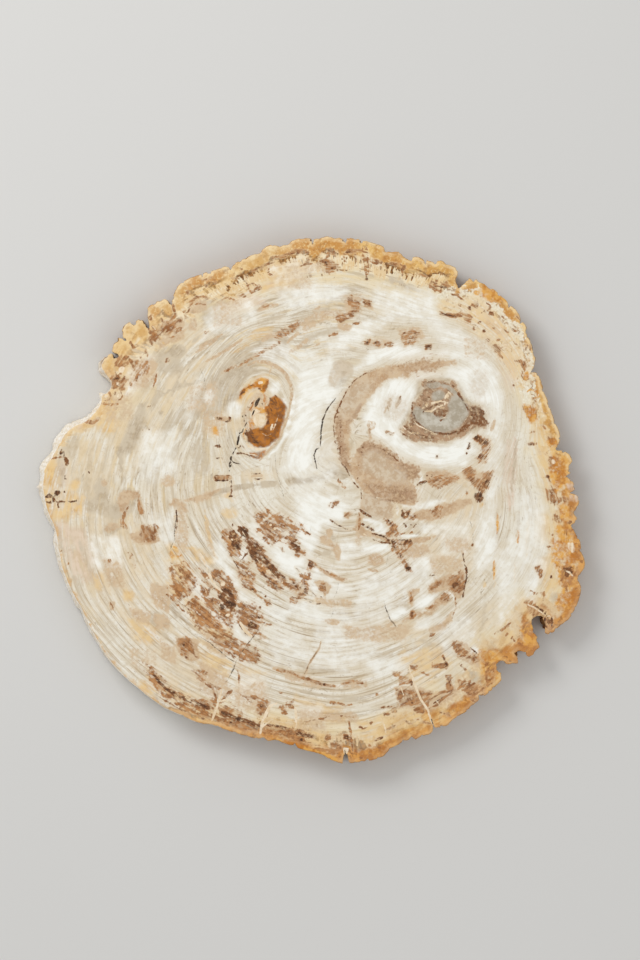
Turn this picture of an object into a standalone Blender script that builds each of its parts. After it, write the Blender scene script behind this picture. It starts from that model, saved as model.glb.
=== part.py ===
"""Petrified wood cheese board: one slice of stone, flat and polished above and below, with its natural rim.

Metres, +Z up. The origin is under the middle of the slice, on the surface that it stands on.
"""

import math

import bmesh
import bpy
from mathutils import Vector, noise

MM = 0.001

# Driving dimensions
THICKNESS = 20.0 * MM
TOP_EASE = 0.6 * MM  # the polished edge is eased this far in and down
BASE_EASE = 0.8 * MM
COLUMN_STEP = 2.9 * MM  # the longest step between two columns of the rim wall
WALL_LEVELS = (0.22, 0.45, 0.68, 0.86)  # rows of the rim wall between its eased edges, as shares of the thickness
LEAN_OVER = 9.0 * MM  # the wall leans along the rim's direction averaged over this length
RIDGE_LENGTH = 7.0 * MM  # typical width of a bark ridge
RIDGE_STRETCH = 0.28  # ridges run up the wall, so relief changes this much more slowly along Z
RELIEF_MIDDLE = -0.45  # how far the bark stands back on average, as a share of its depth
BROAD_RELIEF = 0.75  # how much the broad ridges change that, and how much the fine ones do
FINE_RELIEF = 0.35
FINE_RIDGES = 2.3  # fine ridges to one broad one
FINE_SHIFT = Vector((5.0, 1.0, 7.0))  # keeps the fine ridges from lining up with the broad ones
RELIEF_FADE = 0.2  # the relief fades in over this share of the thickness, from the polished edge down
BASE_SWEEP = 0.8  # under 1, the wall runs out quickly below the polished edge and more slowly near the base
LUMP_CROWN = 1.6  # over 1, a lump has a blunt crown
LUMP_TAPER = 1.1  # over 1, a lump ends before the polished edge or the base
SMOOTHINGS = 4  # how often the wall's directions are averaged with their neighbours

STONE_COLOUR = (0.72, 0.60, 0.44, 1.0)
STONE_ROUGHNESS = 0.28

# The polished edge, clockwise seen from above, in millimetres from the middle. A point with a third value is a
# corner: a cleft, a nick or a broken tip. The curve runs smoothly through the others.
CORNER = 1
RIM = (
    # left lobe, from its shoulder up to the first notch
    (-159.9, 14.4), (-159.7, 18.0), (-158.1, 21.3), (-156.0, 24.3), (-153.6, 28.5), (-151.5, 32.4),
    (-149.4, 36.0), (-147.0, 39.9), (-144.0, 42.6), (-140.4, 44.7), (-136.8, 46.2), (-134.4, 47.7, CORNER),
    # upper left: broken lobes with a small hole and deep clefts between them
    (-131.4, 50.4), (-128.4, 54.0), (-126.0, 57.9), (-125.4, 60.9), (-124.2, 63.6, CORNER), (-121.2, 65.4),
    (-120.0, 68.4), (-120.6, 72.0), (-122.7, 75.0), (-124.8, 78.0), (-125.4, 80.7), (-124.2, 84.0),
    (-122.4, 86.4), (-120.3, 87.7), (-118.6, 87.2), (-117.3, 85.0), (-115.8, 85.5), (-116.1, 87.0),
    (-117.9, 88.1), (-119.4, 89.7), (-119.1, 91.8), (-117.6, 93.9), (-115.5, 95.4), (-115.6, 97.3, CORNER),
    (-113.7, 97.0), (-111.0, 95.8, CORNER), (-113.1, 98.1), (-113.5, 100.5), (-112.5, 103.5), (-110.4, 106.0),
    (-108.6, 106.9), (-107.1, 105.9), (-106.0, 104.7, CORNER), (-105.3, 106.8), (-103.8, 108.3),
    (-101.7, 108.6), (-100.2, 107.1), (-98.7, 104.7), (-97.0, 102.9, CORNER), (-97.6, 106.8), (-98.1, 110.4),
    (-97.7, 113.1), (-98.0, 115.2, CORNER), (-96.0, 116.8), (-93.0, 118.6), (-90.0, 120.1), (-87.6, 120.6),
    (-85.9, 119.7), (-84.7, 118.1), (-83.4, 117.1, CORNER),
    # top edge, with narrow nicks across the bark
    (-83.4, 120.0), (-82.5, 122.7), (-81.4, 125.7), (-80.1, 128.1), (-77.4, 130.3), (-74.4, 132.4),
    (-70.8, 134.1), (-67.2, 135.1), (-65.8, 135.4), (-65.0, 133.8, CORNER), (-64.4, 136.0), (-62.4, 136.7),
    (-60.7, 136.1, CORNER), (-60.0, 137.8), (-57.6, 138.2), (-53.4, 139.8), (-49.6, 140.6),
    (-48.1, 138.6, CORNER), (-47.4, 141.0), (-43.8, 143.2), (-39.0, 145.3), (-34.2, 147.7), (-30.0, 148.8),
    (-29.1, 150.2), (-27.0, 152.2), (-23.4, 153.4), (-20.7, 152.8), (-18.3, 152.2), (-16.2, 153.2),
    (-13.6, 153.4), (-12.0, 155.2), (-9.0, 156.6), (-4.8, 157.1), (0.2, 157.0), (1.1, 153.4, CORNER),
    (2.1, 156.9), (5.4, 157.2), (7.8, 158.0), (11.4, 158.4), (14.4, 157.3), (19.6, 157.2),
    (20.7, 154.3, CORNER), (21.6, 157.0), (25.8, 157.0), (29.7, 156.1), (30.6, 154.0, CORNER), (31.4, 155.7),
    (36.0, 154.9), (41.4, 153.8), (44.4, 152.2), (45.1, 149.5, CORNER), (48.6, 148.8), (53.0, 149.0),
    (56.1, 145.9), (60.6, 143.4, CORNER), (61.3, 145.8), (63.0, 146.2), (67.8, 144.4), (68.8, 141.4, CORNER),
    (69.5, 143.9), (73.8, 143.4), (74.8, 142.0, CORNER), (75.9, 143.5), (78.0, 144.0), (80.1, 143.1),
    (81.3, 141.8, CORNER), (85.2, 140.7), (88.8, 138.0), (88.8, 135.9), (87.2, 132.6), (87.4, 130.0),
    (89.0, 127.9, CORNER),
    # upper right shoulder
    (92.4, 130.2), (95.1, 133.2), (97.5, 131.0, CORNER), (99.3, 132.8), (101.4, 131.0), (104.4, 129.8),
    (107.9, 126.6), (109.4, 126.9), (114.0, 122.8), (118.2, 119.1), (118.8, 115.4, CORNER), (120.2, 116.6),
    (123.0, 114.6), (125.2, 111.0), (126.0, 107.8), (125.6, 105.8, CORNER), (127.5, 106.8), (129.6, 103.8),
    (129.8, 100.6), (132.0, 96.0), (134.1, 89.7), (135.0, 85.2), (134.2, 79.2), (132.4, 76.9, CORNER),
    (135.6, 76.3), (138.0, 72.6), (139.8, 66.6), (142.5, 60.0), (145.8, 49.5), (148.8, 42.3), (150.1, 37.2),
    (149.2, 33.9), (148.2, 30.1, CORNER),
    # right end: rounded knobs of bark between short gashes
    (152.4, 29.6), (156.0, 27.0), (157.2, 23.1), (155.0, 19.8), (156.0, 16.2), (153.3, 14.2, CORNER),
    (157.0, 11.6), (159.2, 6.6), (155.6, 4.2, CORNER), (159.9, 2.7), (161.4, -1.5), (159.6, -5.7),
    (159.0, -8.1, CORNER), (160.0, -11.4), (157.2, -15.6, CORNER), (159.6, -20.4), (162.2, -26.4),
    (162.6, -30.6), (164.7, -36.0), (164.8, -39.3), (163.2, -42.9), (160.5, -47.7, CORNER), (162.6, -53.4),
    (161.6, -58.5), (158.8, -65.4), (155.2, -71.4), (150.0, -75.6), (146.2, -79.2), (142.2, -80.9),
    # the deep notch at the lower right, and the ragged lobes after it
    (140.3, -80.1, CORNER), (139.9, -74.4), (138.3, -71.0), (134.7, -70.4), (132.8, -72.3), (133.8, -77.7),
    (133.5, -79.2, CORNER), (135.8, -81.9), (137.8, -88.6, CORNER), (135.3, -90.6), (133.8, -93.0),
    (130.8, -94.4), (128.1, -92.1), (125.4, -91.0), (122.1, -92.4, CORNER), (124.7, -95.7),
    (124.6, -98.4, CORNER), (118.2, -98.8), (114.9, -97.0), (111.6, -98.8), (112.2, -101.4), (114.6, -103.5),
    (115.2, -106.8), (112.2, -110.7), (108.6, -114.3), (104.7, -117.6), (100.8, -117.3, CORNER),
    (100.8, -120.3), (96.6, -123.9), (95.0, -126.2), (89.4, -129.6), (84.6, -132.6), (81.6, -135.8),
    (78.9, -136.2), (76.2, -137.4), (74.4, -136.5), (72.6, -131.7, CORNER),
    # lower edge, from the open crack to the slit at the lowest point
    (73.6, -136.8), (72.6, -139.6), (69.6, -141.4), (65.4, -142.5), (63.0, -144.1), (60.6, -142.3, CORNER),
    (58.5, -144.5), (56.1, -144.6), (52.8, -147.0), (48.6, -149.1), (45.6, -152.1), (43.5, -154.2),
    (38.4, -156.0), (35.0, -156.6), (34.1, -155.6, CORNER), (32.7, -157.2), (27.0, -157.6), (23.0, -158.0),
    (21.9, -152.7), (20.1, -153.0), (19.1, -158.4, CORNER),
    # lower left: the long smooth side
    (13.8, -157.0), (6.0, -152.8), (-1.8, -150.8), (-7.8, -148.8), (-9.5, -146.0, CORNER), (-10.5, -147.3),
    (-15.0, -146.4), (-21.6, -144.1), (-25.2, -144.6), (-28.2, -143.2), (-33.0, -143.1), (-42.0, -140.8),
    (-51.0, -138.0), (-60.0, -134.8), (-65.4, -134.4), (-72.0, -132.0), (-80.4, -128.1), (-88.8, -124.3),
    (-93.0, -121.2), (-96.9, -118.5), (-103.8, -112.8), (-112.2, -105.6), (-120.3, -96.6), (-124.8, -90.0),
    (-129.8, -81.0), (-134.5, -72.0), (-138.3, -63.6), (-142.2, -57.0), (-145.8, -49.2), (-149.1, -40.2),
    (-150.8, -31.8), (-151.9, -24.0), (-153.1, -18.6), (-154.8, -13.8), (-157.2, -8.4), (-158.8, -3.0),
    (-159.7, 2.4), (-160.6, 7.8),
)

# The log was sawn a little askew, so the base runs out past the polished edge on the left and falls back on the
# right: bearing of the place seen from the middle in degrees, and how far the base runs out in millimetres.
BASE_RUNS_OUT = (
    (0.0, -2.2), (60.0, -1.4), (100.0, -0.8), (128.0, 0.6), (143.0, 1.2), (147.8, 3.8), (150.0, 1.2),
    (154.7, 2.0), (157.8, 3.6), (160.4, 3.2), (163.8, 4.5), (167.7, 4.9), (169.8, 3.0), (172.8, 4.4),
    (175.8, 3.4), (179.2, 4.0), (180.6, 3.0), (184.3, 3.2), (186.9, 1.5), (188.8, 4.0), (191.7, 3.5),
    (194.4, 3.2), (199.1, 2.6), (201.5, 2.8), (204.1, 3.8), (205.8, 1.8), (209.8, 2.5), (215.5, 1.8),
    (225.0, 1.0), (240.0, 0.6), (270.0, -0.3), (300.0, -1.2), (330.0, -2.0), (360.0, -2.2),
)

# Bearing in degrees, and how deep the bark's ridges and hollows are there in millimetres.
BARK_DEPTH = (
    (0.0, 2.4), (60.0, 2.0), (110.0, 1.7), (150.0, 1.3), (165.0, 0.7), (215.0, 0.6), (250.0, 0.9), (290.0, 1.6),
    (360.0, 2.4),
)

# Lumps of the wall: x, y, reach, how far it stands out along x and y, all in millimetres, and the height where it
# stands out most as a share of the thickness.
LUMPS = (
    (-160.5, 7.2, 2.4, -2.6, 0.0, 0.45),
    (-125.0, 62.6, 2.4, -2.2, 1.4, 0.6),
    (139.9, -75.4, 7.5, -3.8, -0.8, 0.0),
    (123.4, -94.0, 3.5, 2.2, 0.0, 0.3),
)

# Open pits in the polished face: x, y, half width, half length, depth in millimetres, turn in degrees.
PITS = (
    (154.5, -44.2, 2.4, 4.3, 3.0, 38.0),
    (142.8, -73.6, 1.2, 3.4, 2.4, -6.0),
)
PIT_SIDES = 14
PIT_RINGS = 6


def between(table, at):
    """The value of a table of (place, value) at a place between its rows, eased from row to row."""
    for (start, low), (end, high) in zip(table, table[1:]):
        if start <= at <= end:
            share = (at - start) / (end - start)
            return low + (high - low) * share * share * (3 - 2 * share)
    raise ValueError(f"{at} is outside the table")


def bearing(point):
    return math.degrees(math.atan2(point.y, point.x)) % 360.0


def spline(before, start, end, after, share):
    """A point of the centripetal curve between start and end."""
    knots = [0.0]
    for a, b in ((before, start), (start, end), (end, after)):
        knots.append(knots[-1] + math.sqrt((b - a).length))
    at = knots[1] + (knots[2] - knots[1]) * share

    def mix(a, b, low, high):
        return a + (b - a) * ((at - low) / (high - low))

    first = mix(before, start, knots[0], knots[1])
    middle = mix(start, end, knots[1], knots[2])
    last = mix(end, after, knots[2], knots[3])
    left = mix(first, middle, knots[0], knots[2])
    right = mix(middle, last, knots[1], knots[3])
    return mix(left, right, knots[1], knots[2])


def rim_outline():
    """The polished edge as evenly spaced points, anticlockwise."""
    points = [Vector((x, y)) * MM for x, y, *_ in RIM]
    corner = [len(place) > 2 for place in RIM]
    count = len(points)
    outline = []
    for i in range(count):
        start, end = points[i], points[(i + 1) % count]
        before = start + (start - end) if corner[i] else points[i - 1]
        after = end + (end - start) if corner[(i + 1) % count] else points[(i + 2) % count]
        steps = max(1, math.ceil((end - start).length / COLUMN_STEP))
        outline += [spline(before, start, end, after, step / steps) for step in range(steps)]
    return outline[::-1]


def outward_directions(outline):
    """For each point, the way out of the slice, averaged along the rim so that neighbours lean alike."""
    count = len(outline)
    lengths = [(outline[(i + 1) % count] - outline[i]).length for i in range(count)]
    directions = []
    for i in range(count):
        first, last, reached = i, i, 0.0
        while reached < LEAN_OVER:
            first -= 1
            reached += lengths[first % count]
        reached = 0.0
        while reached < LEAN_OVER:
            reached += lengths[last % count]
            last += 1
        along = (outline[last % count] - outline[first % count]).normalized()
        directions.append(Vector((along.y, -along.x)))
    for _ in range(SMOOTHINGS):
        directions = [
            (directions[i - 1] + directions[i] * 2 + directions[(i + 1) % count]).normalized() for i in range(count)
        ]
    return directions


def bark_relief(point, height, depth):
    """How far the bark stands out at a place of the wall, from -depth to 0."""
    place = Vector((point.x, point.y, height * RIDGE_STRETCH)) / RIDGE_LENGTH
    broad = noise.noise(place)
    fine = noise.noise(place * FINE_RIDGES + FINE_SHIFT)
    return depth * max(-1.0, min(0.0, RELIEF_MIDDLE + BROAD_RELIEF * broad + FINE_RELIEF * fine))


def wall_point(point, out, height):
    """The point of the wall below an outline point."""
    at = bearing(point)
    down = 1.0 - height / THICKNESS
    from_top = min(1.0, down / RELIEF_FADE)
    runs_out = between(BASE_RUNS_OUT, at) * MM
    depth = between(BARK_DEPTH, at) * MM
    moved = point + out * (runs_out * down**BASE_SWEEP + bark_relief(point, height, depth) * from_top)
    for x, y, reach, over_x, over_y, level in LUMPS:
        near = 1.0 - (point - Vector((x, y)) * MM).length / (reach * MM)
        if near > 0:
            above = abs(height / THICKNESS - level) / max(level, 1.0 - level)
            upright = max(0.0, 1.0 - above * LUMP_TAPER)
            moved = moved + Vector((over_x, over_y)) * (MM * min(1.0, near * LUMP_CROWN) * upright)
    return Vector((moved.x, moved.y, height))


def slab_mesh():
    """The slice: rows of the rim from the base up, and one face above and below."""
    outline = rim_outline()
    outward = outward_directions(outline)
    levels = [BASE_EASE] + [share * THICKNESS for share in WALL_LEVELS] + [THICKNESS - TOP_EASE]
    rows = [[wall_point(point, out, height) for point, out in zip(outline, outward)] for height in levels]
    base = [Vector((p.x, p.y, 0.0)) - out.to_3d() * BASE_EASE for p, out in zip(rows[0], outward)]
    top = [Vector((p.x, p.y, THICKNESS)) - out.to_3d() * TOP_EASE for p, out in zip(rows[-1], outward)]
    rows = [base, *rows, top]
    every = [point for row in rows for point in row]
    middle_x = (min(p.x for p in every) + max(p.x for p in every)) / 2
    middle_y = (min(p.y for p in every) + max(p.y for p in every)) / 2

    shape = bmesh.new()
    loops = [[shape.verts.new(p - Vector((middle_x, middle_y, 0.0))) for p in row] for row in rows]
    for lower, upper in zip(loops, loops[1:]):
        for i in range(len(lower)):
            shape.faces.new((lower[i - 1], lower[i], upper[i], upper[i - 1]))
    shape.faces.new(loops[-1])
    shape.faces.new(loops[0][::-1])
    bmesh.ops.recalc_face_normals(shape, faces=shape.faces)
    mesh = bpy.data.meshes.new("slab")
    shape.to_mesh(mesh)
    shape.free()
    return mesh, Vector((middle_x, middle_y, 0.0))


def pit_cutter(number, pit, middle):
    """A rounded cutter that stands half out of the polished face."""
    x, y, half_width, half_length, depth, turn = pit
    shape = bmesh.new()
    bmesh.ops.create_uvsphere(shape, u_segments=PIT_SIDES, v_segments=PIT_RINGS, radius=MM)
    mesh = bpy.data.meshes.new(f"pit_{number}")
    for vert in shape.verts:
        vert.co = Vector((vert.co.x * half_width, vert.co.y * half_length, vert.co.z * depth))
    shape.to_mesh(mesh)
    shape.free()
    cutter = bpy.data.objects.new(mesh.name, mesh)
    cutter.location = Vector((x * MM, y * MM, THICKNESS)) - middle
    cutter.rotation_euler.z = math.radians(turn)
    cutter.hide_render = True
    cutter.display_type = "WIRE"
    bpy.context.collection.objects.link(cutter)
    return cutter


def stone_material():
    material = bpy.data.materials.new("petrified_wood")
    material.use_nodes = True
    shader = material.node_tree.nodes["Principled BSDF"]
    shader.inputs["Base Color"].default_value = STONE_COLOUR
    shader.inputs["Roughness"].default_value = STONE_ROUGHNESS
    shader.inputs["Metallic"].default_value = 0.0
    return material


def clear_scene():
    for obj in list(bpy.data.objects):
        bpy.data.objects.remove(obj, do_unlink=True)


def main():
    clear_scene()
    mesh, middle = slab_mesh()
    slab = bpy.data.objects.new("slab", mesh)
    bpy.context.collection.objects.link(slab)
    slab.data.materials.append(stone_material())
    for number, pit in enumerate(PITS):
        cut = slab.modifiers.new(f"pit {number}", "BOOLEAN")
        cut.operation = "DIFFERENCE"
        cut.solver = "EXACT"
        cut.object = pit_cutter(number, pit, middle)


main()
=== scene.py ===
"""Petrified wood cheese board: the finish of one polished slice of stone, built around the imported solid.

Metres, +Z up. A mark of the polished face is placed by pixels of the 640 x 960 photograph, which looks
straight down, so one scale and one middle pixel turn every mark into a place on the slice.
"""

import math

import bmesh
import bpy
import numpy as np
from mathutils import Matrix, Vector, kdtree
from mathutils.geometry import delaunay_2d_cdt


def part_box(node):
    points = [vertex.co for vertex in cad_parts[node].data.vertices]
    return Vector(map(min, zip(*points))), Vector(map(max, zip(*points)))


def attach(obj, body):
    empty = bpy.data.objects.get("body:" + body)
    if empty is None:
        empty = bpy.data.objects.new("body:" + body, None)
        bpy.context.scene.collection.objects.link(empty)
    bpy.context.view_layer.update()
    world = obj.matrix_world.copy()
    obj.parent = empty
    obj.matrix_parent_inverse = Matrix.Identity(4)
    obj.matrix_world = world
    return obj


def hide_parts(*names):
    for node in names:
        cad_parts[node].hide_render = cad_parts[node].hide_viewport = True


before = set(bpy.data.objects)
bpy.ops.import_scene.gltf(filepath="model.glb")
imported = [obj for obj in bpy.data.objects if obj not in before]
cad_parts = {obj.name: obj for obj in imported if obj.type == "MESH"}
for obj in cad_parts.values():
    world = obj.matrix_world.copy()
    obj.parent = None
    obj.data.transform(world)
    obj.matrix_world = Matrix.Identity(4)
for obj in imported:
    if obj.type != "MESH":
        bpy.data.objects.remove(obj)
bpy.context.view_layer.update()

# Driving values
PIXEL = 0.0006  # metres to one pixel of the photograph
MIDDLE = (310.4, 500.0)  # the pixel that looks at the middle of the slice
PHOTO_CENTRE = (320.0, 480.0)
PHOTO_HEIGHT = 960
PITH = (352.0, 436.0)  # the pixel that the growth rings run round
FINE_STEP = 1.22  # pixels between the points of the polished face beside a sharp mark
COARSE_EVERY = 3  # away from the marks, every third of these points is kept
UNDERSIDE_STEP = 8.0  # pixels between the points of the underside
FAR_OUTSIDE = -6.0  # a field's value, in pixels, well away from its marks
RIM_HARMONICS = 7  # how many waves of the rim's outline the growth rings keep
BROAD_MARK = 6.0  # the half width, in pixels, from which on a mark's edge wavers fully
CRISPEST = 0.25  # the smallest mark's edge fades over this share of what a broad mark's does
# How a place wavers before it is compared with a mark: how far and how wide in pixels, and the noise's seed
STRONG_WAVER = (1.6, 9.0, 11)
WEAK_WAVER = (0.6, 6.0, 13)
WAVER_ROOM = 2.0  # pixels round a mark that its wavering edge may reach
THIN_LINE = 6.0  # pixels, the width below which a line wavers weakly
FULL_STRENGTH = 1.5  # the strength of a mark that isn't faint: it covers the stone with some to spare
FAR = 1e3  # pixels, further than any place is from a mark
TINY = 1e-9  # keeps a division from zero

low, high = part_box("slab")
TOP = high.z
PLANE_NORMAL = 0.99  # a face of the solid is level, and not part of the wall, from this upward normal on


def hashed(i, j, seed):
    """A fixed number from 0 to 1 for each point of a lattice."""
    mixed = (i * 374761393 + j * 668265263 + seed * 974634533) & 0xFFFFFFFF
    mixed = ((mixed ^ (mixed >> 13)) * 1274126177) & 0xFFFFFFFF
    return ((mixed ^ (mixed >> 16)) & 0xFFFF) / 65535.0


def mottle(x, y, size, seed, octaves=2):
    """Smooth noise from -1 to 1 whose patches are about size wide."""
    total, weight, whole = 0.0, 1.0, 0.0
    for _ in range(octaves):
        u, v = x / size, y / size
        i, j = np.floor(u).astype(np.int64), np.floor(v).astype(np.int64)
        u, v = u - i, v - j
        u, v = u * u * (3 - 2 * u), v * v * (3 - 2 * v)
        near = hashed(i, j, seed) * (1 - u) + hashed(i + 1, j, seed) * u
        far = hashed(i, j + 1, seed) * (1 - u) + hashed(i + 1, j + 1, seed) * u
        total = total + weight * (2 * (near * (1 - v) + far * v) - 1)
        whole += weight
        weight, size, seed = weight / 2, size / 2, seed + 17
    return total / whole


def smooth_step(value, start, end):
    """A smooth passage from 0 to 1 as the value goes from start to end."""
    share = np.clip((value - start) / (end - start), 0.0, 1.0)
    return share * share * (3 - 2 * share)


# A mark is a dictionary: its points in pixels, and how it is drawn. Its field is positive inside, in pixels.
def line(width, *places, ends=0.35):
    """A stroke of that width, which narrows towards its two ends."""
    return {"points": np.array(places, float).reshape(-1, 2), "width": width, "ends": ends, "kind": "line"}


def patch(*places):
    """A closed outline."""
    return {"points": np.array(places, float).reshape(-1, 2), "kind": "patch"}


def oval(x, y, across, down, turn=0.0):
    """An ellipse with these two half sizes, turned anticlockwise."""
    return {"points": np.array([[x, y]], float), "sizes": (across, down), "turn": turn, "kind": "oval"}


def dots(radius, *places):
    return [oval(x, y, radius, radius) for x, y in np.array(places, float).reshape(-1, 2)]


def each(marks):
    """The marks of a nested list, one by one."""
    for mark in marks:
        if isinstance(mark, dict):
            yield mark
        else:
            yield from each(mark)


def faint(strength, *marks):
    """The same marks, which cover at most this share of the stone's own colour."""
    return [dict(mark, strength=strength) for mark in each(marks)]


def soft(blur, *marks):
    """The same marks with edges that fade over about this many pixels."""
    return [dict(mark, blur=blur) for mark in each(marks)]


def haze(strength, blur, *marks):
    """The same marks, both faint and soft."""
    return faint(strength, soft(blur, *marks))


def stroke_field(mark, x, y):
    """How far inside a stroke each place is, in pixels. The next two do the same for a patch and an oval."""
    points = mark["points"]
    lengths = np.hypot(*np.diff(points, axis=0).T)
    starts = np.concatenate([[0.0], np.cumsum(lengths)])
    best = np.full(len(x), -FAR)
    for k, length in enumerate(lengths):
        (ax, ay), (bx, by) = points[k], points[k + 1]
        share = np.clip(((x - ax) * (bx - ax) + (y - ay) * (by - ay)) / max(length * length, TINY), 0.0, 1.0)
        gap = np.hypot(x - ax - share * (bx - ax), y - ay - share * (by - ay))
        along = (starts[k] + share * length) / max(starts[-1], TINY)
        swell = mark["ends"] + (1 - mark["ends"]) * np.sqrt(np.clip(4 * along * (1 - along), 0.0, 1.0))
        best = np.maximum(best, mark["width"] / 2 * swell - gap)
    return best


def patch_field(mark, x, y):
    points = mark["points"]
    inside = np.zeros(len(x), bool)
    gap = np.full(len(x), FAR)
    for (ax, ay), (bx, by) in zip(points, np.roll(points, -1, axis=0)):
        square = max((bx - ax) ** 2 + (by - ay) ** 2, TINY)
        share = np.clip(((x - ax) * (bx - ax) + (y - ay) * (by - ay)) / square, 0.0, 1.0)
        gap = np.minimum(gap, np.hypot(x - ax - share * (bx - ax), y - ay - share * (by - ay)))
        crosses = (ay > y) != (by > y)
        inside ^= crosses & (x < ax + (y - ay) * (bx - ax) / (by - ay if by != ay else TINY))
    return np.where(inside, gap, -gap)


def oval_field(mark, x, y):
    (middle_x, middle_y), = mark["points"]
    across, down = mark["sizes"]
    turn = math.radians(mark["turn"])
    u = (x - middle_x) * math.cos(turn) - (y - middle_y) * math.sin(turn)
    v = (x - middle_x) * math.sin(turn) + (y - middle_y) * math.cos(turn)
    return (1.0 - np.hypot(u / across, v / down)) * min(across, down)


FIELDS = {"line": stroke_field, "patch": patch_field, "oval": oval_field}


def fading(mark):
    """Over how many pixels a mark's edge fades and wavers: the smaller it is, the crisper."""
    if mark["kind"] == "line":
        half = mark["width"] / 2
    elif mark["kind"] == "oval":
        half = min(mark["sizes"])
    else:
        half = np.ptp(mark["points"], axis=0).min() / 2
    return mark.get("blur", 1.0) * min(max(half / BROAD_MARK, CRISPEST), 1.0)


def wavered(x, y, ragged, waver):
    """The places moved a little by noise."""
    far, wide, seed = waver
    return x + ragged * far * mottle(x, y, wide, seed), y + ragged * far * mottle(x, y, wide, seed + 1)


def field_of(marks, x, y, ragged=1.0):
    """How far inside the nearest of these marks each place is, in pixels, with wavering edges."""
    strong_x, strong_y = wavered(x, y, ragged, STRONG_WAVER)
    weak_x, weak_y = wavered(x, y, ragged, WEAK_WAVER)
    field = np.full(len(x), FAR_OUTSIDE)
    for mark in each(marks):
        blur = fading(mark)
        size = max(mark.get("width", 0.0), *mark.get("sizes", (0.0,)))
        reach = -FAR_OUTSIDE * blur + size + WAVER_ROOM
        lowest, highest = mark["points"].min(0) - reach, mark["points"].max(0) + reach
        near = np.flatnonzero((x > lowest[0]) & (x < highest[0]) & (y > lowest[1]) & (y < highest[1]))
        if not len(near):
            continue
        if mark["kind"] == "line" and mark["width"] < THIN_LINE:
            value = stroke_field(mark, weak_x[near], weak_y[near])
        else:
            value = FIELDS[mark["kind"]](mark, strong_x[near], strong_y[near])
        value = np.minimum(value / blur, 2.0 * mark.get("strength", FULL_STRENGTH) - 1.0)
        field[near] = np.maximum(field[near], value)
    return field


# The marks of the polished face by place and by kind of stone, each in pixels of the photograph.

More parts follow.
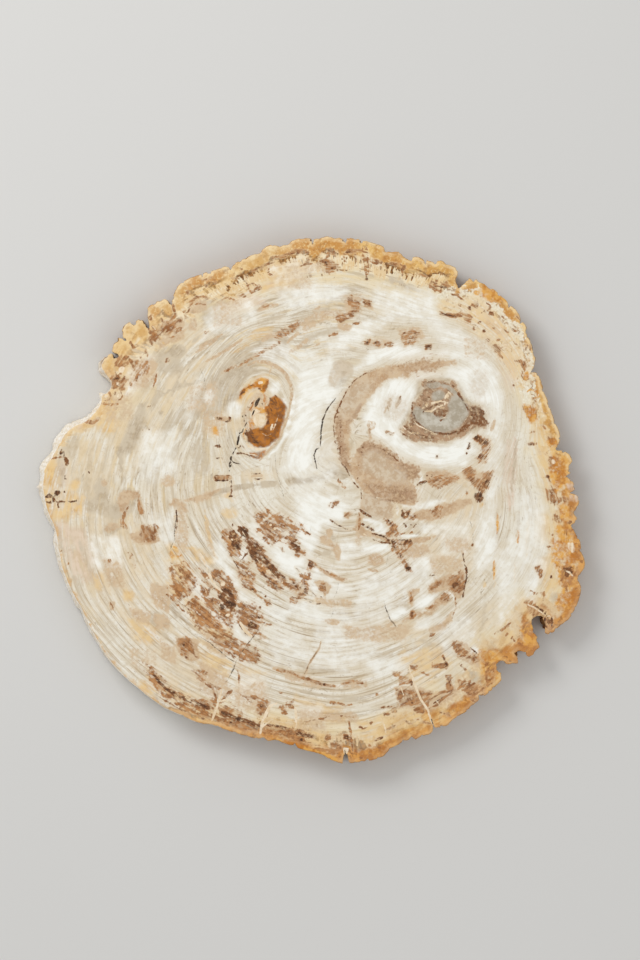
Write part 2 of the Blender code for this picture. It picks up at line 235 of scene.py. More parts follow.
# An oval knot of amber left of the middle, with a cracked core and a dashed crack that runs down from it
AMBER_KNOT = {
    "tan": [
        soft(1.6, line(3.6, 248, 365, 256, 361.5, 266, 362, 276, 366, 286, 374, 291, 385, 292, 395, 290,
                 405)),
        haze(0.8, 1.4, line(2.6, 290, 405, 288, 415, 284, 427, 280, 437, 273, 446, 266, 454, 259, 461)),
        haze(0.5, 2, patch(247, 408, 252, 399, 258, 393, 263, 394, 268, 399, 268, 404, 262, 407, 263, 412,
                 256, 416, 250, 420, 246, 426, 242, 424, 244, 414)),
        line(4.5, 216, 418, 223, 419, 230, 420, ends=0.8),
        line(5.5, 215, 478, 222, 477.5, 229, 477.5, ends=0.9),
        faint(0.7, line(3.5, 251, 477, 257, 475, 263, 476)),
    ],
    "sand": [
        soft(3, oval(256, 396, 15, 17, 20), oval(214, 430, 8, 6)), soft(2, oval(259, 420, 9, 9)),
        haze(0.8, 3, oval(257, 476, 12, 5)), haze(0.7, 3, line(6, 231, 478, 233, 500)),
        haze(0.7, 2, oval(233, 421, 7, 9)),
    ],
    "ochre": [
        haze(0.75, 1.5, patch(237, 401, 243, 395, 250, 391, 255, 389, 251, 396, 244, 401, 239, 405)),
        haze(0.6, 2, patch(252, 380, 260, 374, 268, 374, 264, 380)), haze(0.6, 1.6, oval(250, 437, 5, 3)),
    ],
    "gold": [
        patch(238, 397, 241, 391, 246, 386, 252, 383, 257, 378, 264, 378, 269, 378, 268, 384, 265.5, 390,
            264, 394, 260, 390, 256, 387.5, 252, 388, 247, 391, 243, 395, 240, 399),
        haze(0.7, 1.6, patch(248, 422, 252, 418, 254, 423, 258, 427, 264, 427, 268, 424, 266, 430, 258,
                 432, 250, 430)),
        haze(0.6, 1.6, patch(251, 410, 256, 406, 264, 410, 268, 416, 267, 422, 264, 414, 258, 412, 252,
                 416)),
        haze(0.7, 1.4, patch(265, 393, 268, 397, 268, 403, 265, 405, 263, 400)),
        haze(0.7, 2, patch(212, 427, 217, 428, 219, 435, 215, 434)),
        faint(0.6, line(3, 252, 427, 251, 420, 254, 414), line(2, 246, 428, 243, 434, 244, 440)),
    ],
    "amber": [
        patch(270, 402, 271, 398, 275, 395.5, 280, 399, 284, 404, 286.5, 407, 286, 415, 283, 423, 281, 430,
            279, 436, 274, 441, 269, 446, 264, 449, 258, 448, 252, 444.5, 247, 440, 245, 434.5, 249, 431,
            255, 428.6, 261, 428.6, 265, 426, 267.4, 421, 267, 416, 264.6, 411, 264.5, 406.5, 268, 405),
        haze(0.75, 1.4, patch(249, 452.5, 256, 453, 262, 452, 266, 451, 264, 455, 259.5, 459, 254, 458,
                 250, 455)),
        faint(0.9, patch(262, 386, 266, 381, 269, 379.5, 268, 387, 265, 392, 262, 391),
              line(2.8, 239.5, 395.5, 242.5, 391, 246, 388.5)),
        faint(0.8, line(2.2, 247, 388, 252, 385)), faint(0.7, line(1.8, 249, 411, 252, 406, 255, 400)),
    ],
    "umber": [
        haze(0.5, 2, patch(246, 434, 250, 432, 254, 437, 256, 443, 250, 441)),
        haze(0.35, 2.5, patch(270, 399, 275, 398, 277, 404, 273, 409, 270, 408)),
        haze(0.3, 2, patch(266, 412, 272, 414, 271, 421, 268, 424, 267, 417)),
        line(2.2, 241, 394, 244.4, 391), line(1.8, 250.5, 385.5, 254, 385), line(1.4, 258, 388, 262, 391),
        line(2.2, 215, 418, 222, 418.5), line(1.6, 223, 420, 229, 421.5), line(2.2, 229.5, 416, 230, 422),
        line(2.6, 216, 445.7, 221.4, 446.3, ends=0.8), line(1.6, 216, 458, 224, 458.6),
        line(1.6, 214.5, 480, 222, 480.5, 229, 480, ends=0.7), line(2, 214.5, 476.5, 215, 480),
        line(1.2, 240, 445, 246, 449), line(2, 236, 452, 240, 453.5),
        faint(0.8, line(1.2, 240, 452.5, 248, 455, 257, 458)),
        faint(0.7, line(1.2, 216, 475.5, 222, 475, 230, 475.5), line(1.6, 228, 496, 234, 496),
              dots(1, 252, 402, 249, 407, 246, 416, 255, 411, 262, 399, 247, 431, 238, 448, 262, 404)),
        faint(0.6, line(1.5, 231, 480, 232, 488, 231, 496), line(1.2, 251, 474, 256, 473.5, 261, 474),
              line(1.2, 253, 478.5, 259, 479, 263, 478)),
    ],
    "taupe": [
        haze(0.9, 3, patch(193, 415, 192, 404, 198, 391, 209, 379, 223, 366, 240, 354, 258, 345, 273, 343,
                 276, 351, 262, 360, 250, 372, 240, 386, 232, 398, 222, 412, 206, 420)),
        faint(0.8, line(1.4, 216, 469.8, 223, 469.6)),
        faint(0.7, line(1.2, 231, 478, 240, 477, 250, 475.5)),
        faint(0.6, line(1.2, 226, 447, 236, 447.5, 246, 449.5), line(1.4, 226, 458.5, 231, 459)),
    ],
    "white": [
        soft(1.5, oval(209.5, 396.5, 5, 6.5, -20), patch(282, 399, 285, 400, 288, 405, 286, 406, 283, 403),
             line(3, 294, 392, 292, 408, 288, 424, 284, 438, 276, 449, 268, 457)),
        haze(0.8, 2, oval(235, 410, 6, 7), oval(275, 388, 5, 6)),
    ],
    "pale": [
        soft(1.8, patch(253, 420, 255, 415, 258.6, 414.4, 263, 414.6, 265.6, 418, 264.4, 423, 261.6, 427,
                 256, 426)),
        haze(0.7, 1.6, patch(250, 413, 254, 408.6, 259, 411, 256, 414.4, 252, 416)),
        line(2.6, 246, 443, 250, 446.5, 257, 449.5, 267, 449),
        haze(0.8, 1.4, line(1.8, 273, 424, 271, 431)),
        faint(0.7, line(1.1, 243, 452.5, 251, 454.5, 258, 455.5), oval(259.5, 382.5, 2.5, 2)),
        faint(0.45, line(1.4, 279, 414, 276, 424, 272, 431)),
        faint(0.4, line(1.2, 262, 433, 268, 436, 272, 434)),
        faint(0.6, line(1.2, 254, 398, 250, 404, 247, 410), dots(1.2, 258, 400, 263, 409, 267, 392)),
    ],
    "crack": [
        line(3.2, 260, 398, 257.5, 402, 255.5, 407), line(1.6, 254.5, 410, 252, 415.5),
        line(1.4, 247, 421, 244.5, 427), line(1.3, 243.5, 428.5, 242, 432.5),
        line(1.2, 239.3, 433, 239, 435), line(2, 238.6, 436.5, 238, 439),
        line(1.8, 237.8, 441, 237.3, 445, ends=0.7), line(1.6, 236, 447.2, 235.6, 449.3),
        line(1.3, 234, 451, 232.4, 455), line(2.3, 231.4, 456, 230.4, 460.5),
        line(1.4, 230.3, 461, 229.4, 464), dots(1.3, 229.8, 466.6),
        faint(0.7, dots(0.9, 229.3, 471, 244, 421, 243, 417)),
        faint(0.8, line(1.3, 232, 462, 236, 463, 240, 463.7),
              line(1.7, 336, 398, 331, 404, 326, 412, 322.6, 420, 321.3, 431, 320.6, 441, 320, 447.5,
                  ends=0.4)),
        faint(0.4, line(1, 275, 451, 275.6, 464, 277, 473, 279.5, 481, 283, 495, 287, 506)),
        faint(0.75, line(1.5, 320, 447.5, 315.6, 450, 314, 455, 315, 461, 317, 470, ends=0.4)),
        faint(0.35, line(1, 345, 388, 340, 393, 336, 398)),
    ],
}

# A band of tan stone that curls round the agate eye, and the brown stone that it runs into
CURLED_BAND = {
    "tan": [
        soft(1.4, patch(456, 361, 440, 360, 420, 361, 405, 364, 390, 366, 378, 369, 366, 373, 356, 379,
                 349, 387, 343, 396, 338, 406, 335, 415, 334, 424, 335, 436, 338, 446, 340, 456, 343, 463,
                 349, 471, 354, 480, 360, 487, 362, 478, 352, 468, 350, 458, 349, 448, 348, 440, 350, 430,
                 353, 421, 359, 413, 363, 405, 367, 399, 375, 392, 379, 386, 386, 381, 394, 377, 401, 376,
                 408, 378, 412, 374, 420, 371, 432, 369, 446, 367, 457, 364)),
        soft(1.2, patch(361, 444, 366, 440, 371, 441, 377, 443, 386, 447, 392, 452, 400, 461, 408, 463,
                 418, 467, 420, 471, 417, 479, 408, 481, 415, 488, 417, 494, 415, 505, 404, 506, 392, 503,
                 380, 499, 370, 497, 362, 492, 358, 482, 353, 472, 351, 462, 356, 452),
             patch(425, 475, 428, 471, 436, 471, 447, 471, 454, 474, 460, 477, 455, 483, 447, 486, 438,
                 488, 430, 485, 426, 481),
             patch(462, 472, 467, 467, 474, 468, 478, 474, 483, 472, 494, 470, 491, 478, 488, 486, 483,
                 494, 477, 489, 471, 484, 464, 477)),
        faint(0.7, line(4, 491, 431, 493, 425, 495, 420), line(3.6, 368, 421, 369, 430, 371, 440)),
        faint(0.6, oval(373, 425, 2, 4), line(2.5, 384, 414, 387, 406)),
    ],
    "brown": [
        haze(0.3, 3, patch(404, 364, 440, 360, 440, 367, 416, 371, 408, 373)),
        haze(0.8, 1.2, line(4.5, 216, 478, 222, 477.6, 228, 477.6)),
        haze(0.7, 2.5, line(8, 339, 418, 339, 436, 343, 456, 350, 470),
             patch(396, 462, 410, 464, 419, 470, 416, 479, 404, 480, 396, 472)),
        haze(0.55, 1.6, line(4, 347, 424, 356, 414, 361, 404)),
        haze(0.7, 2, patch(358, 450, 362, 444, 370, 441, 380, 446, 392, 452, 400, 461, 392, 461, 380, 455,
                 370, 451, 362, 456)),
        haze(0.55, 2.5, patch(366, 484, 380, 486, 392, 486, 412, 488, 414, 500, 396, 503, 376, 496)),
        haze(0.65, 1.5, patch(428, 480, 440, 477, 458, 478, 450, 484, 438, 487)),
        patch(474, 437, 478, 435, 483, 438, 488, 439, 491, 443, 489, 449, 487, 456, 484, 461, 478, 462,
            477, 458, 481, 454, 483, 448, 480, 443, 476, 440),
        line(2.4, 338, 480, 345, 489),
        soft(1.2, patch(464, 470, 470, 467, 475, 472, 474, 478, 482, 480, 484, 473, 493, 471, 489, 484,
                 483, 493, 477, 488, 470, 482)),
        faint(0.8, line(4, 391, 399, 389, 404, 388.5, 409), line(3, 401, 396, 399, 401, 396, 408)),
        faint(0.7, oval(386.5, 432, 2.4, 1.8), line(2.5, 369, 428, 370, 434)),
        faint(0.5, line(2.5, 391, 436, 394, 433)),
    ],
    "umber": [
        line(3.4, 417, 485, 421, 483.5, 427, 481), oval(479, 497, 4.6, 4.4),
        patch(475, 436, 479, 437, 484, 441, 482, 443, 476, 439), oval(487, 443, 2.4, 2),
        dots(1, 427, 476, 430, 478, 433, 475), line(1.3, 340, 447, 340, 455),
        dots(1.4, 469, 447.5, 437, 457), haze(0.6, 1.2, oval(481, 456, 3, 3)),
        faint(0.7, oval(487, 483, 2.5, 3.5)),
        faint(0.8, line(1.3, 388.5, 405, 388.5, 410), line(1.2, 401, 396, 400, 399),
              line(1.6, 341, 463, 346, 468, 350, 476), line(1.8, 350, 478, 356, 485, 361, 490, 362, 499),
              line(1.2, 376, 368.5, 364, 374, 353, 382, 347, 391, 342, 400, 338, 408, 335, 418, 334, 428,
                  335, 440, 338, 450)),
        faint(0.6, dots(0.9, 340, 407, 339, 413, 337, 417, 340, 421, 341, 428, 341, 433, 341, 437, 342,
                  442, 340, 447, 343, 451, 350, 386, 391, 371, 399, 367, 363, 447, 362, 452, 358, 465, 361,
                  472, 357, 478), dots(0.9, 467, 450, 470, 443, 466, 454)),
        faint(0.5, line(1.2, 374, 445, 384, 450, 394, 457, 399, 462)),
    ],
    "core": [
        haze(0.85, 4, patch(344, 398, 350, 390, 358, 385, 366, 384, 372, 386, 364, 392, 357, 401, 350, 412,
                 343, 415, 340, 408)),
        haze(0.8, 3, patch(362, 458, 372, 452, 384, 457, 392, 466, 404, 472, 404, 482, 388, 482, 372, 474,
                 362, 468)),
        haze(0.8, 2, patch(362, 496, 378, 500, 390, 503, 392, 516, 376, 520, 364, 514)),
    ],
    "white": [
        soft(2.5, patch(463, 368, 480, 366, 496, 378, 502, 396, 500, 412, 488, 404, 476, 400, 466, 396,
                 460, 384, 452, 376, 440, 374, 424, 375, 414, 378, 412, 388, 414, 398, 408, 410, 402, 420,
                 396, 430, 404, 440, 420, 446, 444, 447, 462, 441, 474, 432, 474, 450, 466, 466, 440, 466,
                 420, 462, 404, 456, 390, 446, 372, 434, 364, 424, 366, 406, 376, 392, 392, 380, 404, 380)),
        soft(3, patch(300, 372, 330, 360, 344, 376, 334, 400, 322, 412, 316, 440, 312, 470, 296, 474, 284,
                 470, 290, 440, 296, 410, 296, 388)),
        line(3, 420, 472, 422, 478, 419, 484), line(1.6, 412, 488, 420, 488.5), dots(1.6, 381, 466),
        dots(1, 365, 487, 404, 486),
        faint(0.8, line(1.8, 362, 482, 366, 486, 376, 491), patch(473, 477, 477, 474, 480, 478, 476, 480),
              line(1.8, 394.5, 399, 394.5, 405, 394, 409), patch(374, 491, 382, 491, 386, 495, 376, 496)),
        faint(0.7, line(2, 482, 449, 486, 450, 489, 448)),
        faint(0.6, line(3, 378, 477, 392, 481, 402, 484)),
    ],
    "taupe": [
        haze(0.7, 2, patch(366, 452, 374, 452, 380, 460, 370, 462, 364, 458)),
        haze(0.75, 2, patch(366, 470, 378, 468, 396, 474, 402, 482, 384, 482, 370, 478)),
        haze(0.4, 1.5, line(2, 392, 442, 402, 448, 416, 452)),
        faint(0.6, line(1.2, 410, 445, 425, 446.5, 440, 447, 452, 445), line(2, 413.5, 374, 414, 379),
              line(1.3, 462, 370, 466, 366, 470, 361)),
        faint(0.4, line(1.2, 451, 455, 460, 454)), faint(0.8, line(1.8, 502, 414, 503, 408)),
        faint(0.35, oval(373, 415, 2, 6)),
    ],
}

# The grey agate eye with its brown rim, and the pale twigs in it
AGATE_EYE = {
    "pink": [
        haze(0.8, 2.5, patch(463, 374, 471, 372, 480, 378, 486, 386, 489, 394, 488, 401, 480, 399, 474,
                 391, 468, 382)),
    ],
    "brown": [
        patch(420, 384, 422, 381, 428, 381, 433, 379, 436, 381, 444, 382, 450, 384, 453, 381, 456, 383,
            458, 389, 460, 395, 464, 400, 468, 406, 473, 405, 478, 406, 483, 410, 484, 417, 487, 423, 482,
            427, 475, 429, 468, 434, 458, 438, 448, 441, 436, 442, 424, 441, 412, 440, 404, 436, 400, 430,
            403, 427, 406, 424, 411, 421, 410, 416, 412, 411, 413, 404, 417, 399, 422, 394, 423, 388),
    ],
    "umber": [
        haze(0.7, 1.3, line(2.2, 412.6, 402, 412, 412, 415, 420, 423, 428, 434, 433, 448, 434, 460, 430,
                 468, 422)),
        haze(0.55, 1.5, patch(470, 408, 478, 406, 483, 411, 484, 418, 487, 423, 480, 426, 472, 424, 470,
                 415)),
        faint(0.65, line(2.2, 452, 384, 455, 388, 459, 395, 464, 402, 469, 411)),
        faint(0.5, line(3, 471, 424, 464, 430, 456, 434), line(3, 404, 426, 412, 432, 424, 437, 434, 438)),
        faint(0.8, line(1.6, 425, 409, 434, 406, 441, 402)),
        faint(0.6, line(1.6, 422, 383, 430, 381, 436, 381), line(1.8, 400, 431, 406, 436),
              dots(1.4, 424, 412, 419, 405, 429, 398), line(1.2, 440, 421, 445, 418)),
        line(1.6, 479, 424, 486, 423.5),
        haze(0.45, 1.6, patch(432, 411, 440, 409, 448, 411, 445, 416, 438, 417)),
    ],
    "slate": [
        soft(2, patch(415, 407, 413.5, 413, 417, 420, 422, 425.5, 428, 429.5, 435, 431.5, 443, 432, 451,
                 431, 459, 427, 465, 421, 468, 414, 467.5, 406, 463, 399, 457, 395, 452, 397, 450, 401,
                 449, 406, 450, 412, 446, 417, 439, 416.5, 431, 413, 424, 411, 419, 407.5)),
        soft(1.6, oval(438, 395.5, 6.5, 5, 20)), haze(0.65, 2, oval(433, 385, 7, 3)),
        haze(0.7, 1.5, line(4, 441, 385, 448, 387, 454, 392, 460, 399)),
    ],
    "pale": [
        line(2, 421.5, 408.5, 427, 406, 432, 403.5, 441, 401, 444, 402), line(1.8, 427, 403.5, 429, 406),
        line(2.2, 424, 411.5, 432, 411, 437, 407, 444, 404.5, 448, 402.5), line(1.6, 431, 412.5, 434, 409),
        line(2.4, 444.5, 399, 447, 395, 448, 391.5), line(2, 447, 398, 450, 395, 451.5, 393),
        line(1.2, 449, 392, 451, 394), line(1.3, 402, 426.5, 407, 431, 413, 434),
        faint(0.8, line(1.5, 413, 420.5, 418, 425, 426, 429.5, 437, 434.5)),
        faint(0.6, line(1.5, 441, 418.5, 447, 417.5), line(1.3, 470, 429, 473, 424)),
        faint(0.5, line(1.3, 463, 424, 468, 416), line(1.5, 405, 425, 404, 421)),
        faint(0.7, line(1.2, 401, 430, 404, 433)),
    ],
    "taupe": [
        soft(2, patch(418, 378, 458, 378, 470, 400, 488, 408, 490, 426, 450, 444, 402, 440, 398, 428, 410,
                 404)),
    ],
    "sand": [
        soft(2, line(3, 489, 436, 492, 446, 488, 458, 482, 465, 474, 464), oval(472, 476, 10, 6),
             line(4, 457, 480, 464, 484, 474, 493, 484, 500)),
    ],
}

# The left lobe: ochre and pink stone behind two short cracks
LEFT_LOBE = {
    "ochre": [
        soft(3, patch(44, 470, 50, 461, 56, 462, 56, 488, 48, 492, 44, 484)),
        soft(2, oval(77, 508.5, 8, 4, 20)),
        haze(0.7, 3, patch(44, 490, 62, 492, 84, 497, 84, 512, 62, 518, 52, 518, 46, 505)),
        haze(0.8, 2, oval(75, 484, 5, 3.5, 30)), haze(0.7, 2, line(3, 70, 490, 71, 496, 78, 498)),
        haze(0.6, 3, patch(72, 420, 84, 419, 100, 416, 114, 410, 118, 424, 100, 428, 84, 426)),
        haze(0.55, 3, oval(110, 413, 6, 9)),
    ],
    "taupe": [
        haze(0.6, 3, oval(60, 474, 4.5, 11)),
        haze(0.5, 3, patch(63, 436, 72, 430, 78, 440, 74, 462, 66, 452)),
        haze(0.75, 2.5, patch(100, 478, 106, 482, 108, 496, 112, 506, 122, 502, 122, 490, 130, 490, 138,
                 492, 140, 500, 132, 512, 122, 518, 108, 518, 96, 512, 84, 512, 84, 502, 96, 498, 94, 486)),
        soft(1.6, patch(130, 424, 140, 420, 146, 404, 141, 400, 136, 410, 131, 420)),
        soft(1.8, patch(118, 448, 124, 440, 130, 424, 141, 422, 141, 430, 135, 440, 134, 450, 126, 450,
                 122, 456, 117, 454)),
        haze(0.8, 1.8, line(4, 119, 455, 121, 464, 121, 474)),
        haze(0.5, 2, line(3, 88, 462, 87, 480, 88, 498)), haze(0.6, 2, line(5, 86, 520, 89, 528)),
        haze(0.7, 1.4, oval(161, 413, 2.4, 3)), haze(0.7, 1.5, oval(171, 427, 4, 2.5)),
        haze(0.75, 1.5, oval(146, 428, 4, 2.5)),
        haze(0.8, 1.2, patch(103, 530, 106, 524, 116, 522, 122, 528, 116, 532, 108, 537, 104, 534)),
    ],
    "tan": [
        soft(1.3, patch(120, 494, 126, 491, 138, 491, 140, 497, 136, 499, 130, 500, 127, 507, 124, 514,
                 120, 512, 118, 503)),
        soft(1.2, patch(130, 534, 137, 531, 142, 526, 152, 527, 160, 528, 158, 534, 160, 542, 150, 545,
                 138, 544, 132, 540), line(4.5, 139, 500, 141, 508, 142, 515)),
        haze(0.7, 1.5, oval(112, 527, 7, 4, 15), oval(105, 483, 3, 2.5)),
        haze(0.8, 1.4, line(4, 100, 418, 92, 423, 84, 422)), haze(0.8, 1.5, oval(174, 502, 5, 3, 20)),
        haze(0.6, 2, oval(168, 482, 6, 5)),
    ],
    "brown": [
        line(4.2, 121, 520, 123, 525, 127, 528), oval(88.5, 422.5, 4, 1.8),
        faint(0.7, line(3, 137, 492, 139, 498), line(2, 84, 421, 92, 424, 98, 420)),
        haze(0.8, 1.2, line(3, 138, 500, 141, 514),
             patch(142, 527, 152, 527, 156, 531, 154, 540, 144, 541, 140, 534)),
        faint(0.8, line(2.4, 129, 506, 124, 514, 122, 520), line(1.6, 52, 459, 58, 458, 63, 457)),
        faint(0.6, oval(142, 512, 2.5, 3), line(2, 154, 524, 159, 529)),
    ],
    "umber": [
        oval(61.5, 452.5, 2.2, 2.4), patch(63, 457, 68, 460, 69, 464, 67, 468, 64.5, 464),
        oval(65.5, 477.6, 1.6, 1.6), oval(57.5, 493, 3.2, 2.6, 40), oval(49.5, 496.5, 3, 1.6),
        line(1.1, 52, 501, 62, 501.6, 70, 501.8, 77, 500.6),
        faint(0.8, line(1.6, 45, 497.5, 55, 497), line(1.6, 46, 502, 52, 503.5), dots(1, 64.5, 492.3),
              line(1, 57, 503, 59, 508), line(1.4, 121, 524, 127, 529)),
        faint(0.6, dots(0.9, 150, 405.5, 149, 430, 143, 431), line(1.3, 88, 471, 90, 473.5)),
        faint(0.7, line(1.4, 176.5, 510, 177, 520, 176, 532)),
    ],
    "pale": [line(1.4, 46, 499.8, 58, 500, 68, 500, 76, 499.4), faint(0.6, line(1, 57, 502, 56, 508))],
    "pink": [
        haze(0.7, 2.5, patch(58, 462, 64, 464, 67, 474, 64, 486, 58, 486)),
        haze(0.5, 2.5, oval(78, 424, 4, 4), oval(62, 526, 5, 5)),
    ],
}

